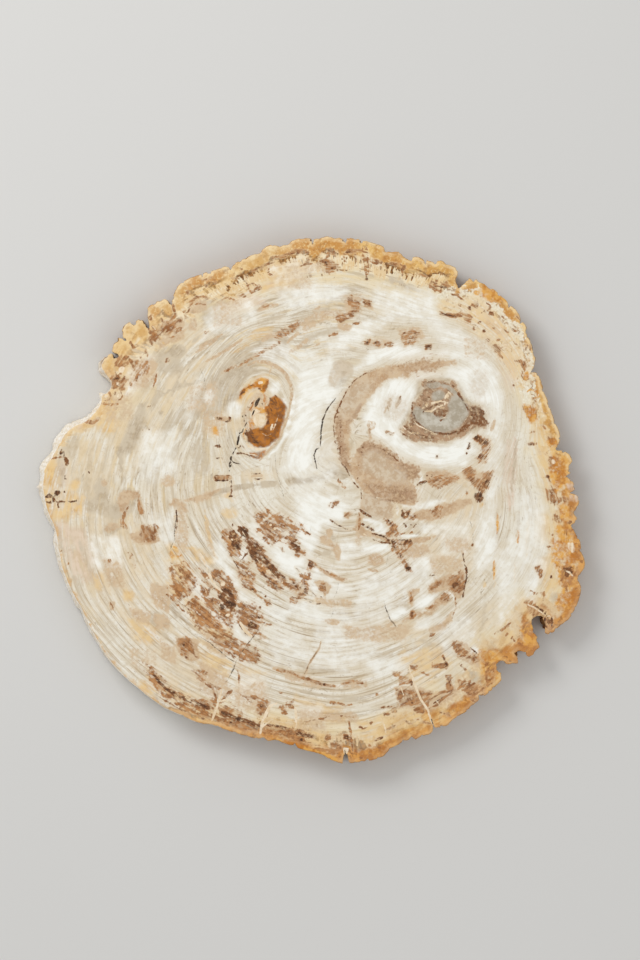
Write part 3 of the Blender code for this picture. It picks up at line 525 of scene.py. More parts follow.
# The dark arc and the scattered brown stone below and left of the pith
DARK_ARC = {
    "tan": [
        haze(0.5, 2, patch(175, 520, 178, 506, 184, 504, 186, 520, 188, 540, 184, 552, 176, 545),
             line(5, 358, 530, 358, 545)),
        haze(0.35, 1.6, line(4, 207, 520, 208, 540, 214, 556)),
        haze(0.85, 1.5, patch(184, 500, 190, 497, 200, 496, 207, 493, 216, 491, 222, 490, 215, 495, 208,
                 500, 200, 501, 188, 501)),
        haze(0.8, 1.4, patch(172, 503, 180, 500, 186, 505, 188, 512, 184, 515, 180, 508, 174, 506)),
        faint(0.85, patch(320, 536, 327, 536, 331, 541, 338, 545, 341, 552, 340, 560, 336, 560, 333, 552,
                  328, 545, 322, 543), line(3.2, 368, 569, 373, 570.5, 378, 571)),
        faint(0.8, patch(326, 530, 331, 528, 334, 533, 329, 538), oval(263, 637, 4, 2.6)),
        patch(317, 565, 320, 566, 328, 571, 336, 575, 344, 578, 350, 580, 342, 582, 334, 579, 326, 575,
            320, 570),
        patch(314, 581, 320, 580, 326, 582, 331, 588, 328, 594, 323, 595, 321, 588, 316, 586),
        line(2.6, 271, 517, 276, 515, 281, 512),
        haze(0.9, 1.2, patch(368, 555, 373, 554, 384, 557, 384, 563, 380, 565, 374, 566, 368, 563)),
        haze(0.7, 1.5, oval(332, 621.5, 7, 3)),
        haze(0.55, 2.5, patch(344, 626, 370, 628, 396, 624, 410, 626, 404, 638, 372, 640, 346, 636)),
        haze(0.6, 2, patch(316, 598, 336, 601, 352, 601, 352, 606, 334, 607, 318, 604),
             oval(296, 590, 7, 4, -20)),
    ],
    "brown": [
        line(10, 249, 538, 256, 549, 264, 563, 273, 575, 283, 585, ends=0.6),
        patch(223, 530, 230, 529, 236, 529, 236, 533, 241, 540, 243, 545, 240, 549, 239, 556, 231, 557,
            228, 550, 226, 543, 223, 536),
        patch(238, 526, 243, 527, 249, 530, 250, 538, 255, 541, 258, 546, 262, 552, 267, 558, 273, 565,
            279, 572, 286, 578, 289, 583, 284, 588, 279, 591, 276, 589, 270, 584, 264, 577, 260, 571, 257,
            565, 254, 560, 251, 556, 249, 550, 248, 543, 242, 536),
        patch(289, 579, 293, 582, 299, 588, 297, 591, 291, 588, 287, 585),
        patch(263, 521, 267, 519, 271, 521, 273, 520, 277, 527, 275, 531, 276, 537, 270, 539, 268, 535,
            262, 532, 257, 533, 256, 529, 262, 528),
        patch(279, 529, 285, 526, 291, 524, 294, 527, 290, 531, 284, 533, 276, 534, 276, 530),
        patch(288, 534, 292, 533, 295, 537, 298, 542, 301, 549, 305, 550, 304, 556, 298, 557, 294, 550,
            290, 544, 289, 540),
        patch(300, 525, 304, 527, 306, 531, 310, 535, 306, 533, 302, 530),
        patch(309, 561, 315, 560, 316, 565, 312, 568, 310, 574, 307, 583, 308, 592, 304, 598, 297, 600,
            291, 601, 291, 598, 297, 597, 302, 593, 303, 584, 306, 575, 309, 568),
        patch(215, 570, 222, 570, 224, 578, 229, 578, 232, 584, 236, 592, 238, 598, 234, 602, 236, 608,
            232, 613, 226, 607, 222, 601, 218, 594, 219, 590, 223, 589, 218, 583, 213, 578, 210, 573),
        patch(200, 568, 204, 570, 208, 580, 213, 587, 217, 589, 210, 590, 206, 584, 202, 576),
        patch(200, 586, 204, 584, 208, 590, 210, 596, 205, 595, 202, 592), oval(212, 602, 4, 3.4),
        patch(215, 605, 219, 604, 224, 610, 228, 616, 231, 622, 226, 620, 221, 615, 217, 610),
        patch(241, 614, 246, 612, 252, 611, 256, 613, 258, 618, 257, 625, 254, 631, 251, 632, 247, 628,
            241, 622),
        patch(238, 610, 243, 607, 248, 608, 252, 611, 244, 613, 240, 614),
        patch(242, 567, 247, 567, 249, 575, 250, 583, 245, 584, 241, 578),
        patch(265, 600, 270, 600, 272, 606, 267, 606), line(2, 259, 620.5, 264, 623),
        oval(268, 624, 3.5, 1.8),
        haze(0.8, 1.5, patch(188, 600, 196, 598, 204, 606, 214, 618, 222, 628, 232, 637, 240, 644, 256,
                 647, 258, 661, 240, 661, 226, 650, 212, 640, 200, 628, 192, 614)),
        haze(0.7, 1.5, patch(168, 567, 180, 565, 190, 570, 196, 582, 190, 594, 178, 597, 170, 588, 176,
                 578)),
        haze(0.7, 1.4, patch(204, 594, 214, 598, 224, 606, 232, 618, 232, 627, 224, 622, 214, 612, 207,
                 604)),
        haze(0.55, 1.6, patch(256, 514, 270, 512, 292, 522, 294, 532, 284, 540, 268, 544, 262, 534)),
        haze(0.6, 1.5, patch(237, 563, 250, 562, 254, 574, 252, 588, 244, 588, 240, 576)),
        haze(0.5, 1.6, patch(238, 604, 256, 606, 262, 618, 258, 634, 246, 634, 238, 620)),
        faint(0.9, oval(273, 542, 2.8, 3.5)),
        haze(0.7, 1.2, patch(300, 575, 306, 575, 308, 585, 303, 590, 300, 583)),
        faint(0.8, oval(322.5, 588, 3.4, 4.5), line(2.2, 280, 547, 284, 552)),
        faint(0.7, line(2, 320, 568, 330, 574, 344, 579), line(2, 260, 607, 254, 609),
              line(1.2, 249, 583, 254, 590, 258, 595, 263, 599), oval(229, 583, 2.6, 3),
              line(2, 344, 517, 349, 512)),
        faint(0.5, oval(334, 504, 5, 2.5, 25)),
    ],
    "umber": [
        patch(230, 530, 236, 529.5, 237, 538, 231, 538),
        patch(238, 526, 243, 527, 249, 531, 249, 539, 246, 539, 241, 535), oval(311.5, 564, 2.8, 2.6),
        oval(222, 606, 2.6, 2.4), dots(1.1, 259, 617.5, 225, 615, 212, 600),
        faint(0.75, patch(232, 541, 241, 541, 240, 549, 233, 550)),
        haze(0.85, 1.2, patch(249, 541, 254, 542, 258, 547, 263, 554, 261, 559, 256, 561, 252, 557, 249,
                 549)),
        faint(0.85, line(2.6, 262, 556, 270, 564, 278, 572, 285, 578.5)),
        faint(0.6, line(2, 262, 572, 270, 581, 278, 588), line(2.4, 305, 580, 304.5, 590),
              dots(0.9, 252, 579, 253, 589, 266, 596, 232, 523, 233, 525),
              line(1.2, 266, 621, 263, 624, 262, 626), line(1.3, 330, 520, 338, 525, 345, 529, 352, 531)),
        haze(0.8, 1.2, line(5, 248, 537, 254, 547, 261, 557, 266, 564)),
        haze(0.6, 1.2, line(4, 264, 560, 271, 569, 279, 579)),
        faint(0.8, line(1.2, 231, 556, 235, 563, 239, 570), line(1.8, 291, 581, 298, 588),
              patch(221, 590, 231, 590, 236, 607, 232, 612, 226, 606, 221, 598),
              patch(209, 587, 216, 588, 213, 590, 209, 590), oval(305, 592, 2.4, 3),
              line(1.4, 239, 624, 243, 630, 249, 636), line(1.1, 182, 604, 188, 609, 191, 613)),
        faint(0.7, line(1, 248, 551, 243, 558, 240, 561), line(1.2, 306, 531, 310, 535)),
        faint(0.5, oval(296, 545, 3.5, 6, 25), line(1, 294, 566, 299, 571, 303, 575),
              line(1.1, 310, 591, 316, 596, 322, 597), line(1.4, 304, 598, 310, 602, 316, 604, 321, 604)),
        haze(0.7, 1.3, oval(252, 626, 4, 4)), faint(0.45, line(1, 255, 518, 258, 516, 264, 517)),
    ],
    "rust": [
        faint(0.65, oval(231, 544, 3.2, 2.6)),
        faint(0.6, oval(262, 567, 5, 2.6, -45), oval(284, 583, 4, 2.4, -40)),
        haze(0.7, 1.5, patch(190, 600, 195, 598, 199, 606, 204, 610, 207, 616, 214, 621, 222, 628, 212,
                 630, 202, 626, 196, 618, 190, 611)),
        haze(0.5, 1.5, patch(171, 588, 178, 584, 184, 590, 178, 596, 173, 594), oval(231, 596, 4, 8, 25)),
        faint(0.5, oval(184, 565, 5, 4), oval(247, 574, 2.6, 4)),
    ],
    "ochre": [
        soft(1.4, oval(175, 551, 5, 5)), haze(0.8, 1.2, oval(190, 548.5, 4, 1.8, -20)),
        haze(0.7, 1.4, oval(228, 496, 4, 3)),
        soft(2, patch(181, 560, 189, 564, 193, 574, 188, 581, 181, 583, 184, 592, 176, 598, 170, 590, 168,
                 582, 172, 574, 178, 568)),
        haze(0.7, 3, patch(188, 600, 200, 598, 212, 618, 232, 632, 226, 642, 204, 634, 192, 620)),
        haze(0.8, 1.5, line(3, 230, 536, 229, 545)), faint(0.5, oval(319, 600, 6, 3)),
        haze(0.6, 2, oval(229, 513, 6, 4), patch(192, 548, 204, 556, 214, 562, 206, 566, 194, 558)),
        haze(0.5, 2, oval(308, 504, 6, 3)), haze(0.7, 1.6, line(3, 205, 508, 207, 524, 210, 540, 217, 558)),
    ],
    "gold": [
        faint(0.8, oval(171.5, 554, 1.8, 3.6, 20)), faint(0.7, line(2, 176, 557, 182, 555)),
        faint(0.6, line(1.6, 178, 549, 173, 546)),
    ],
    "taupe": [
        soft(1.4, line(5.5, 206, 496, 222, 491, 240, 487, 258, 485)),
        patch(258, 482, 264, 480.4, 277, 480, 276, 486, 260, 487.6),
        patch(284, 480, 292, 477, 302, 479, 312, 475, 322, 474, 330, 469, 338, 465, 346, 468, 350, 476,
            343, 479, 332, 478, 318, 481, 302, 485, 290, 485),
        haze(0.9, 1.4, patch(216, 626, 224, 624, 232, 632, 236, 642, 222, 640, 214, 634)),
        faint(0.9, patch(252, 512, 256, 511, 256.5, 519, 252.5, 519)),
        faint(0.6, line(1.4, 264, 494, 271, 493), line(1.2, 355, 556, 362, 556.5)),
        haze(0.8, 1.6, patch(151, 586, 158, 583, 160, 590, 153, 593)),
        haze(0.7, 1.6, oval(172, 605, 5, 6, 30)),
        haze(0.75, 2, patch(150, 612, 158, 612, 168, 622, 168, 630, 158, 628, 150, 622)),
        haze(0.6, 1.6, oval(177, 614, 4, 4)), haze(0.6, 2, line(4, 336, 604, 360, 607, 400, 606)),
        haze(0.5, 2.5, line(5, 276, 609, 284, 616, 292, 626)),
        haze(0.7, 1.2, line(1.4, 350, 559, 362, 563, 378, 566)),
        haze(0.5, 1.5, line(3, 292, 624, 310, 632, 330, 640)),
        haze(0.45, 1.6, patch(199, 562, 204, 566, 210, 566, 216, 560, 218, 568, 208, 570)),
        haze(0.7, 1.5, patch(327, 530, 334, 533, 336, 540, 330, 540)), haze(0.6, 1.4, oval(327, 553, 4, 3)),
    ],
    "white": [
        soft(2.5, patch(256, 540, 262, 546, 270, 556, 284, 570, 298, 576, 304, 566, 304, 558, 296, 558,
                 288, 548, 284, 536, 272, 544, 262, 536, 254, 534),
             patch(294, 490, 340, 498, 350, 508, 340, 520, 322, 526, 318, 540, 310, 556, 304, 548, 300,
                 536, 296, 524, 300, 508)),
        soft(3, patch(214, 545, 222, 540, 228, 560, 236, 580, 250, 600, 262, 606, 250, 608, 238, 596, 228,
                 576, 216, 560), patch(196, 576, 204, 590, 208, 598, 200, 598, 192, 590, 190, 580)),
        soft(2, patch(210, 606, 216, 612, 226, 624, 226, 628, 218, 622, 210, 614), oval(318, 572, 6, 4)),
        soft(1.6, patch(231, 618, 236, 614, 240, 622, 242, 632, 252, 638, 246, 642, 236, 636, 232, 626)),
        haze(0.8, 3, patch(270, 556, 300, 566, 330, 570, 350, 590, 330, 600, 318, 600, 312, 590, 300, 580)),
        haze(0.9, 2, oval(257, 530, 6, 6)), haze(0.8, 2, oval(242, 556, 5, 5), oval(243, 552, 4, 5)),
        haze(0.7, 3, patch(290, 604, 320, 610, 340, 612, 330, 620, 300, 616)),
        haze(0.8, 2.5, patch(337, 548, 345, 540, 356, 546, 380, 550, 366, 552, 346, 562, 338, 560)),
        haze(0.7, 2, patch(262, 606, 290, 612, 284, 622, 272, 614)),
    ],
    "pale": [
        line(2.4, 199, 552, 204, 562, 208, 572, 213, 582, 218, 588, 222, 592, ends=0.5),
        line(3.4, 240, 622, 245, 630, 252, 637),
        faint(0.8, oval(223, 584, 2.4, 2.6), oval(269, 572, 3.6, 1.6, -45), oval(227, 615, 2.6, 2),
              dots(1.4, 270, 525, 275, 528, 219, 612, 206, 578)),
        faint(0.7, line(1.4, 256, 558, 260, 563),
              dots(1.2, 229, 536, 233, 540, 276, 579, 282, 582, 263, 565)),
        faint(0.6, line(1.3, 268, 569, 275, 576, 281, 583), line(1.2, 242, 531, 246, 538),
              line(1.2, 204, 588, 207, 594)),
        faint(0.5, line(1.4, 298, 588, 302, 582)),
    ],
    "crack": [
        faint(0.8, line(1.1, 176.4, 510, 177, 517, 175.4, 522, 174.6, 530, 174.6, 539)),
        faint(0.5, line(1, 174.6, 539, 171, 547, 169.6, 556),
              line(1, 338, 582, 338, 588, 335.4, 594, 334, 598),
              line(1.1, 321, 641, 318.4, 650, 311, 660, 304, 674),
              line(1.1, 384, 600, 386, 610, 390, 618, 394, 624, 397, 629),
              line(1.1, 266, 622, 258, 631, 249, 642, 238, 658, 231, 672)),
        faint(0.55, line(1.1, 335.6, 607, 333.5, 612, 330.6, 619)),
        faint(0.4, line(0.9, 387, 545, 388, 556, 386, 566), line(0.9, 312, 524, 310.5, 532)),
    ],
}

# Brown stone below the agate, a branching crack and the outlined patch at its right
BELOW_THE_AGATE = {
    "tan": [
        soft(1.2, patch(362, 494, 376, 499, 390, 500, 393, 508, 393, 517, 388, 520, 376, 517, 366, 514,
                 360, 510), patch(344, 514, 350, 510, 353, 513, 348, 519, 344, 518),
             patch(357, 516, 361, 512, 366, 513, 362, 520, 361, 526, 366, 530, 375, 533, 386, 535, 385,
                 540, 372, 537, 362, 537, 356, 533, 350, 530, 356, 526),
             patch(428, 585, 434, 580, 441, 578, 449, 574, 456, 575, 462, 570, 466, 574, 466, 586, 463,
                 594, 461, 599, 456, 598, 452, 592, 448, 590, 440, 591, 434, 592, 428, 592),
             patch(434, 600, 440, 596, 443, 592, 448, 597, 452, 601, 446, 605, 438, 606, 432, 607),
             patch(408, 592, 414, 590, 420, 589, 417, 594, 414, 600, 412, 606, 409, 604, 409, 598)),
        soft(1.3, patch(414, 512, 424, 510, 432, 510, 437, 507, 446, 503, 456, 501, 470, 498, 472, 503,
                 462, 508, 450, 514, 440, 519, 432, 521, 422, 520, 414, 518)),
        patch(410, 540, 418, 538, 424, 537, 436, 536, 430, 541, 420, 543, 412, 544),
        patch(424, 608, 432, 604, 440, 605, 434, 610, 426, 610),
        haze(0.7, 2, patch(402, 546, 428, 545, 430, 552, 414, 558, 404, 556)),
        faint(0.8, patch(416, 613, 428, 611, 438, 609, 430, 615, 419, 619)),
        haze(0.85, 1.4, patch(430, 630, 438, 625, 446, 620, 452, 613, 452, 621, 446, 627, 438, 632, 431,
                 633)),
        haze(0.8, 1.3, line(3, 403, 621, 410, 617, 416, 615)),
        haze(0.6, 2, patch(390, 622, 400, 624, 404, 634, 392, 636)),
        haze(0.5, 3, patch(446, 540, 466, 540, 472, 548, 462, 552, 452, 550)),
        haze(0.5, 2.5, patch(432, 560, 450, 556, 462, 560, 460, 572, 446, 572, 434, 576)),
    ],
    "brown": [
        haze(0.8, 1.3, patch(392, 490, 412, 491, 417, 495, 414, 499, 402, 499, 392, 496),
             patch(431, 511, 438, 507, 442, 508, 440, 516, 433, 520)),
        patch(401, 511, 407, 510, 412, 511, 416, 515, 414, 519, 407, 520, 402, 518),
        line(1.8, 368, 496, 384, 500, 392, 501, 412, 500),
        patch(384, 520, 390, 521, 397, 526, 395, 531, 398, 533, 397, 537, 387, 537, 386, 532, 390, 528,
            386, 524),
        patch(384, 538, 393, 539, 401, 541, 411, 539, 412, 545, 404, 545, 392, 544, 385, 542),
        patch(390, 543, 397, 544, 401, 548, 403, 556, 407, 563, 411, 569, 407, 570, 402, 564, 397, 557,
            393, 550),
        oval(412.5, 615.5, 3.4, 3.6), line(1.8, 494, 634, 503, 629, 511, 623),
        dots(1.4, 506, 635, 473, 545),
        faint(0.7, patch(401, 544, 410, 545, 406, 552, 402, 552), line(2.2, 427, 609, 434, 605),
              oval(433, 635, 3, 1.6, 25), dots(1.2, 370, 497, 467, 492)),
        faint(0.8, line(2.2, 359, 513, 360, 522, 358, 530)),
        haze(0.75, 1.3, patch(450, 578, 462, 574, 465, 584, 461, 594, 455, 592, 450, 588)),
        haze(0.7, 1.3, oval(435, 585, 6, 3, 20)), haze(0.7, 1.2, oval(445, 598, 5, 4)),
        faint(0.6, line(2.6, 411, 593, 411, 604), line(1.3, 453, 592, 456, 600, 456, 608, 452, 618),
              line(1.6, 400, 534, 408, 532.5, 413, 532)),
    ],
    "umber": [
        faint(0.85, line(2.6, 360, 509, 364, 513, 371, 517)),
        faint(0.8, line(2.6, 361, 524, 368, 527, 374, 531), line(1.6, 372, 533, 384, 537, 390, 541),
              line(1.4, 397, 544, 406, 544.5), oval(402.5, 514, 1.8, 3.6), line(1.6, 400, 552, 400.5, 558)),
        faint(0.7, line(1.4, 372, 539.5, 382, 542, 392, 543.5), oval(409, 514, 2, 2.4),
              oval(412, 615, 1.8, 2),
              dots(0.9, 391, 523, 392, 525, 388, 521, 416, 524, 414, 527, 411, 525, 406, 526, 404, 524)),
        line(2.8, 388, 541, 396, 542), line(2.6, 405, 541, 411, 541), line(1.4, 397, 539.8, 406, 539.6),
        oval(408.6, 569, 2.4, 1.6),
        line(1.5, 462.6, 552, 463.4, 559, 465.6, 566, 466.4, 574, 466, 582, 464, 590, 462, 598),
        faint(0.5, line(1.2, 430, 576, 436, 575)),
        faint(0.6, oval(456, 586, 3, 3), line(1.8, 391, 545, 397, 550)),
    ],
    "sand": [
        haze(0.8, 2, patch(393, 505, 402, 505, 402, 522, 394, 524)),
        haze(0.7, 4, patch(450, 495, 476, 492, 474, 512, 452, 520, 440, 518)),
        haze(0.6, 5, patch(430, 525, 474, 520, 474, 560, 462, 572, 440, 572, 420, 556)),
        haze(0.5, 5, patch(452, 640, 500, 600, 520, 600, 510, 640, 470, 650)),
        haze(0.6, 4, oval(405, 630, 20, 10)),
    ],
    "taupe": [
        haze(0.5, 2, patch(402, 522, 416, 521, 424, 524, 416, 529, 403, 528)),
        haze(0.5, 3, oval(418, 573, 12, 3), line(6, 366, 580, 380, 583, 400, 582)),
        haze(0.7, 2, patch(398, 600, 408, 602, 410, 608, 400, 608)),
        faint(0.6, line(1.5, 420, 578, 430, 577)),
        haze(0.55, 1.6, patch(364, 498, 376, 502, 390, 504, 388, 512, 372, 508, 363, 504)),
    ],
    "ochre": [
        haze(0.9, 1.3, line(3, 498, 515, 498.5, 524, 498, 532)),
        soft(1.2, line(3, 494, 563, 494.6, 571, 494.6, 579), patch(480, 502, 484, 501, 483, 508, 480, 507)),
        haze(0.5, 1.5, oval(484.5, 585, 2, 3.5)), haze(0.5, 1.4, line(2, 496, 580, 494, 590)),
        haze(0.6, 2, patch(514, 640, 500, 652, 498, 640, 510, 630)),
    ],
    "white": [
        soft(1.4, line(4, 362, 519, 372, 521, 382, 524),
             patch(398, 534, 412, 535, 424, 535, 412, 538, 398, 538)),
        soft(1.6, patch(374, 524, 386, 528, 386, 534, 374, 531)),
        faint(0.9, line(1.6, 394, 542, 400, 542.4, 405, 542.2), dots(1.6, 441.5, 583, 450, 594, 428, 514)),
        soft(2, patch(362, 543, 386, 545, 390, 550, 376, 552, 362, 550),
             patch(398, 501, 412, 502, 430, 502, 446, 500, 430, 508, 412, 508, 404, 507),
             patch(416, 600, 424, 594, 436, 594, 432, 602, 424, 608, 416, 608),
             patch(388, 608, 404, 608, 408, 612, 398, 620, 390, 618),
             patch(418, 622, 432, 616, 438, 614, 428, 628, 416, 628)),
        haze(0.8, 3, patch(412, 556, 430, 556, 430, 566, 412, 566),
             patch(480, 515, 492, 510, 494, 560, 480, 570, 474, 560)),
        haze(0.7, 3, patch(400, 578, 424, 582, 410, 588, 398, 588),
             patch(420, 526, 446, 524, 440, 532, 424, 532)),
        faint(0.8, oval(442, 600, 1.6, 2.6)), line(2.2, 452, 593, 454, 600),
        haze(0.9, 1.4, line(3, 397, 505, 398, 516)),
    ],
    "pale": [
        faint(0.7, dots(1.3, 405, 516, 409, 518, 404, 512)), faint(0.6, line(1.1, 362, 533, 368, 536)),
    ],
    "crack": [
        faint(0.6, line(1, 470, 521, 472.4, 529)), faint(0.4, line(1, 473, 533, 473, 544)),
        faint(0.5, line(1, 401, 503, 401, 509)),
    ],
}

# The upper middle: slanting brown strokes, drips below the rind and blobs
UPPER_MIDDLE = {
    "brown": [
        faint(0.85, line(3, 271, 258, 278, 257, 285, 256, 289, 254),
              patch(400, 336, 405, 333, 410, 332, 414, 331, 419, 334, 414, 338, 402, 339)),
        line(3.4, 290, 253, 296, 251.5, 303, 252, 309, 252), line(3.4, 344, 254, 350, 251, 358, 251),
        line(3.4, 368, 261, 375, 262, 382, 262), line(2.6, 388, 264, 395, 264, 402, 265),
        patch(320, 262, 326, 260, 330, 263, 337, 264, 334, 268, 333, 271, 328, 272, 324, 271, 326, 267),
        oval(405, 268, 1.9, 1.9), patch(363, 299, 368, 299, 371, 302, 371, 307, 366, 306, 363, 304),
        patch(424, 344, 431, 344, 431.5, 349, 424, 349), line(1.6, 327, 248, 328, 253, 327, 258),
        line(1.4, 355.6, 254, 356.4, 262),
        line(1.5, 362, 247, 363.4, 256, 364.4, 264, 366, 274, 366.4, 279),
        line(1.3, 366.6, 247, 367.6, 258, 368.6, 273), line(2, 246, 275, 248, 278),
        line(2, 252, 272, 256, 270, 261, 268.5), line(2, 263, 269, 268, 266, 271, 263, 275, 261),
        dots(1.4, 271.5, 276, 253.5, 283.5, 241.5, 269),
        line(1.8, 222, 300, 227, 297.4, 232, 299, 236, 301),
        patch(430, 284, 440, 285, 450, 285.5, 450, 288.5, 440, 287.5, 430, 287),
        line(1.4, 432, 285, 432, 280), line(1.4, 436, 285, 436.4, 278), line(1.4, 441, 286, 441, 281),
        line(1.4, 446, 286, 446.4, 279), dots(1.2, 436, 291, 439.6, 291.4),
        patch(440, 311, 447, 314, 455, 315, 460, 312, 470, 316, 460, 317, 450, 318, 442, 315),
        faint(0.8, line(2.4, 301, 266, 306, 264, 312, 264),
              patch(347, 298, 352, 296, 358, 302, 358, 312, 354, 313, 353, 306, 349, 303),
              line(2.4, 352, 325, 361, 322), oval(390, 344, 4.5, 2.6), line(1.6, 331, 248, 332.4, 255),
              line(1.8, 334, 250, 336, 257), line(1.4, 344, 256, 344.6, 262),
              line(1.3, 450, 294, 454, 294.8, 459, 294.5), dots(1.4, 448, 301, 460, 305)),
        faint(0.6, line(1.5, 402, 268, 403, 276), oval(376, 343.5, 4, 2),
              line(1.2, 230, 278, 234, 278.4, 239, 278), line(1.4, 308, 258, 309, 263),
              line(1.5, 380, 265, 381, 270)),
        faint(0.9, patch(336, 319, 340, 315, 346, 313, 353, 311, 355, 315, 348, 318, 342, 321),
              patch(363, 341, 370, 340, 368, 345, 365, 344),
              line(1.6, 246, 281, 248, 288, 251, 293, 257, 291), line(2, 269, 268, 268, 275),
              oval(241, 296, 3.6, 1.8), line(1.6, 416, 274, 422, 275, 428, 277.6)),
        faint(0.7, line(2.4, 329, 336, 338, 333), oval(258, 288.5, 2.8, 2.8),
              patch(275, 338, 280, 332, 288, 328, 298, 321, 298, 325, 290, 331, 281, 337)),
        faint(0.75, patch(401, 341, 408, 340, 415, 341, 410, 344, 404, 344)),
        faint(0.5, line(1.4, 270, 262, 262, 266)),
    ],
    "tan": [
        haze(0.85, 1.3, patch(338, 324, 345, 321, 352, 326, 350, 331, 344, 331, 339, 329),
             patch(363, 299, 371, 299, 373, 309, 363, 308)),
        faint(0.8, patch(313, 310, 320, 305, 320, 308, 314, 311), line(2.2, 322, 316, 332, 312),
              line(3.2, 287, 343, 293, 337, 299, 332), line(3, 205, 362, 220, 354, 232, 346, 243, 339)),
        faint(0.7, line(2.2, 313, 347, 320, 343), line(3, 199, 347, 212, 340, 222, 334),
              line(1.4, 272, 367, 269, 374)),
        haze(0.7, 1.5, line(4.5, 262, 341, 270, 336, 279, 333)),
        haze(0.7, 1.6, line(4.5, 258, 311, 266, 306, 277, 305)),
        haze(0.55, 2, patch(300, 322, 320, 312, 340, 310, 345, 316, 320, 322, 304, 330)),
        haze(0.6, 2, patch(343, 296, 360, 294, 362, 312, 350, 316)),
        haze(0.5, 1.6, patch(216, 302, 238, 300, 240, 306, 218, 309)),
        haze(0.6, 1.5, oval(380, 343, 12, 4), patch(398, 330, 420, 328, 424, 338, 404, 346),
             oval(325, 266, 10, 6)),
        haze(0.6, 1.6, line(4, 290, 352, 300, 346, 308, 340)),
    ],
    "taupe": [
        patch(334, 363, 341, 361, 347, 366, 354, 371, 350, 378, 343, 386, 333, 389, 329, 386, 333, 378,
            329, 374),
        haze(0.8, 1.3, line(2, 367, 340, 378, 335, 387, 331, 400, 326, 412, 323)),
        faint(0.8, line(2.6, 385, 331.6, 400, 326)),
        haze(0.6, 2, patch(388, 274, 402, 274, 403, 283, 390, 283),
             patch(318, 376, 330, 368, 336, 372, 330, 384, 318, 388, 306, 384),
             patch(296, 322, 314, 310, 330, 304, 330, 310, 312, 318, 300, 328)),
        haze(0.5, 2, patch(400, 284, 414, 286, 420, 292, 404, 290), line(3, 420, 316, 434, 320, 446, 326),
             line(4, 266, 354, 262, 346, 270, 340)),
        haze(0.5, 2.5, line(6, 300, 344, 316, 336, 330, 332), line(6, 260, 326, 274, 318, 288, 312)),
        faint(0.7, dots(2, 337, 346, 345, 355, 350, 360), dots(1.6, 341, 350)),
        haze(0.6, 1.5, line(2.4, 338, 388, 330, 392, 322, 394)),
        haze(0.4, 2.5, line(5, 372, 322, 392, 316, 412, 314)), haze(0.55, 2, oval(226, 372, 9, 6, 35)),
    ],
    "ochre": [
        haze(0.7, 1.5, line(3.6, 230, 354, 240, 349, 250, 344)),
        haze(0.6, 1.5, line(3.6, 252, 333, 258, 330, 264, 328), line(3, 312, 264, 322, 258)),
        faint(0.9, line(3.4, 342, 265, 350, 264.4, 358, 264)), faint(0.8, line(2, 231, 270, 233, 277)),
        haze(0.8, 2, patch(232, 262, 250, 262, 262, 258, 262, 268, 246, 272, 234, 270)),
        haze(0.6, 2, oval(260, 334, 10, 4, 25), oval(414, 272, 10, 3), oval(440, 281, 12, 4)),
        haze(0.5, 2, oval(450, 306, 10, 5)),
    ],
    "pink": [haze(0.8, 1.5, oval(270, 285, 4.5, 3.5)), haze(0.5, 3, oval(250, 302, 10, 4))],
    "umber": [
        faint(0.7, patch(424.5, 344.5, 431, 345, 430.6, 348, 425, 348), line(1.4, 431, 286, 449, 287.6),
              line(1.1, 441, 313, 447, 315.6, 456, 316)),
        oval(366.2, 278.6, 1.4, 1.5), dots(1.2, 311, 240.5, 344, 240.5, 361, 241.5, 229.4, 267.4),
        faint(0.8, line(1.2, 345, 253, 351, 252), dots(1.2, 326, 264, 331, 268)),
        faint(0.6, line(1.2, 291, 254, 300, 253), dots(1, 404, 334, 410, 336, 414, 334, 408, 342),
              oval(366, 302, 2, 2), dots(1, 375, 343, 391, 344, 367, 343)),
    ],
    "white": [
        soft(3, patch(374, 348, 396, 344, 420, 350, 440, 352, 470, 352, 486, 360, 496, 376, 480, 366, 462,
                 358, 440, 356, 400, 358, 376, 362, 356, 370)),
        haze(0.4, 3, patch(254, 352, 276, 344, 300, 352, 320, 358, 306, 372, 286, 372, 270, 360)),
        haze(0.7, 4, patch(280, 290, 330, 284, 344, 292, 320, 302, 290, 306),
             patch(376, 292, 430, 296, 440, 322, 420, 320, 380, 312)),
        haze(0.8, 3, patch(360, 322, 396, 316, 376, 330, 350, 344, 330, 352, 330, 344)),
        haze(0.7, 3, patch(430, 326, 460, 330, 470, 346, 440, 340)),
        haze(0.25, 3, patch(272, 268, 300, 262, 318, 268, 296, 276, 276, 280)),
    ],
}

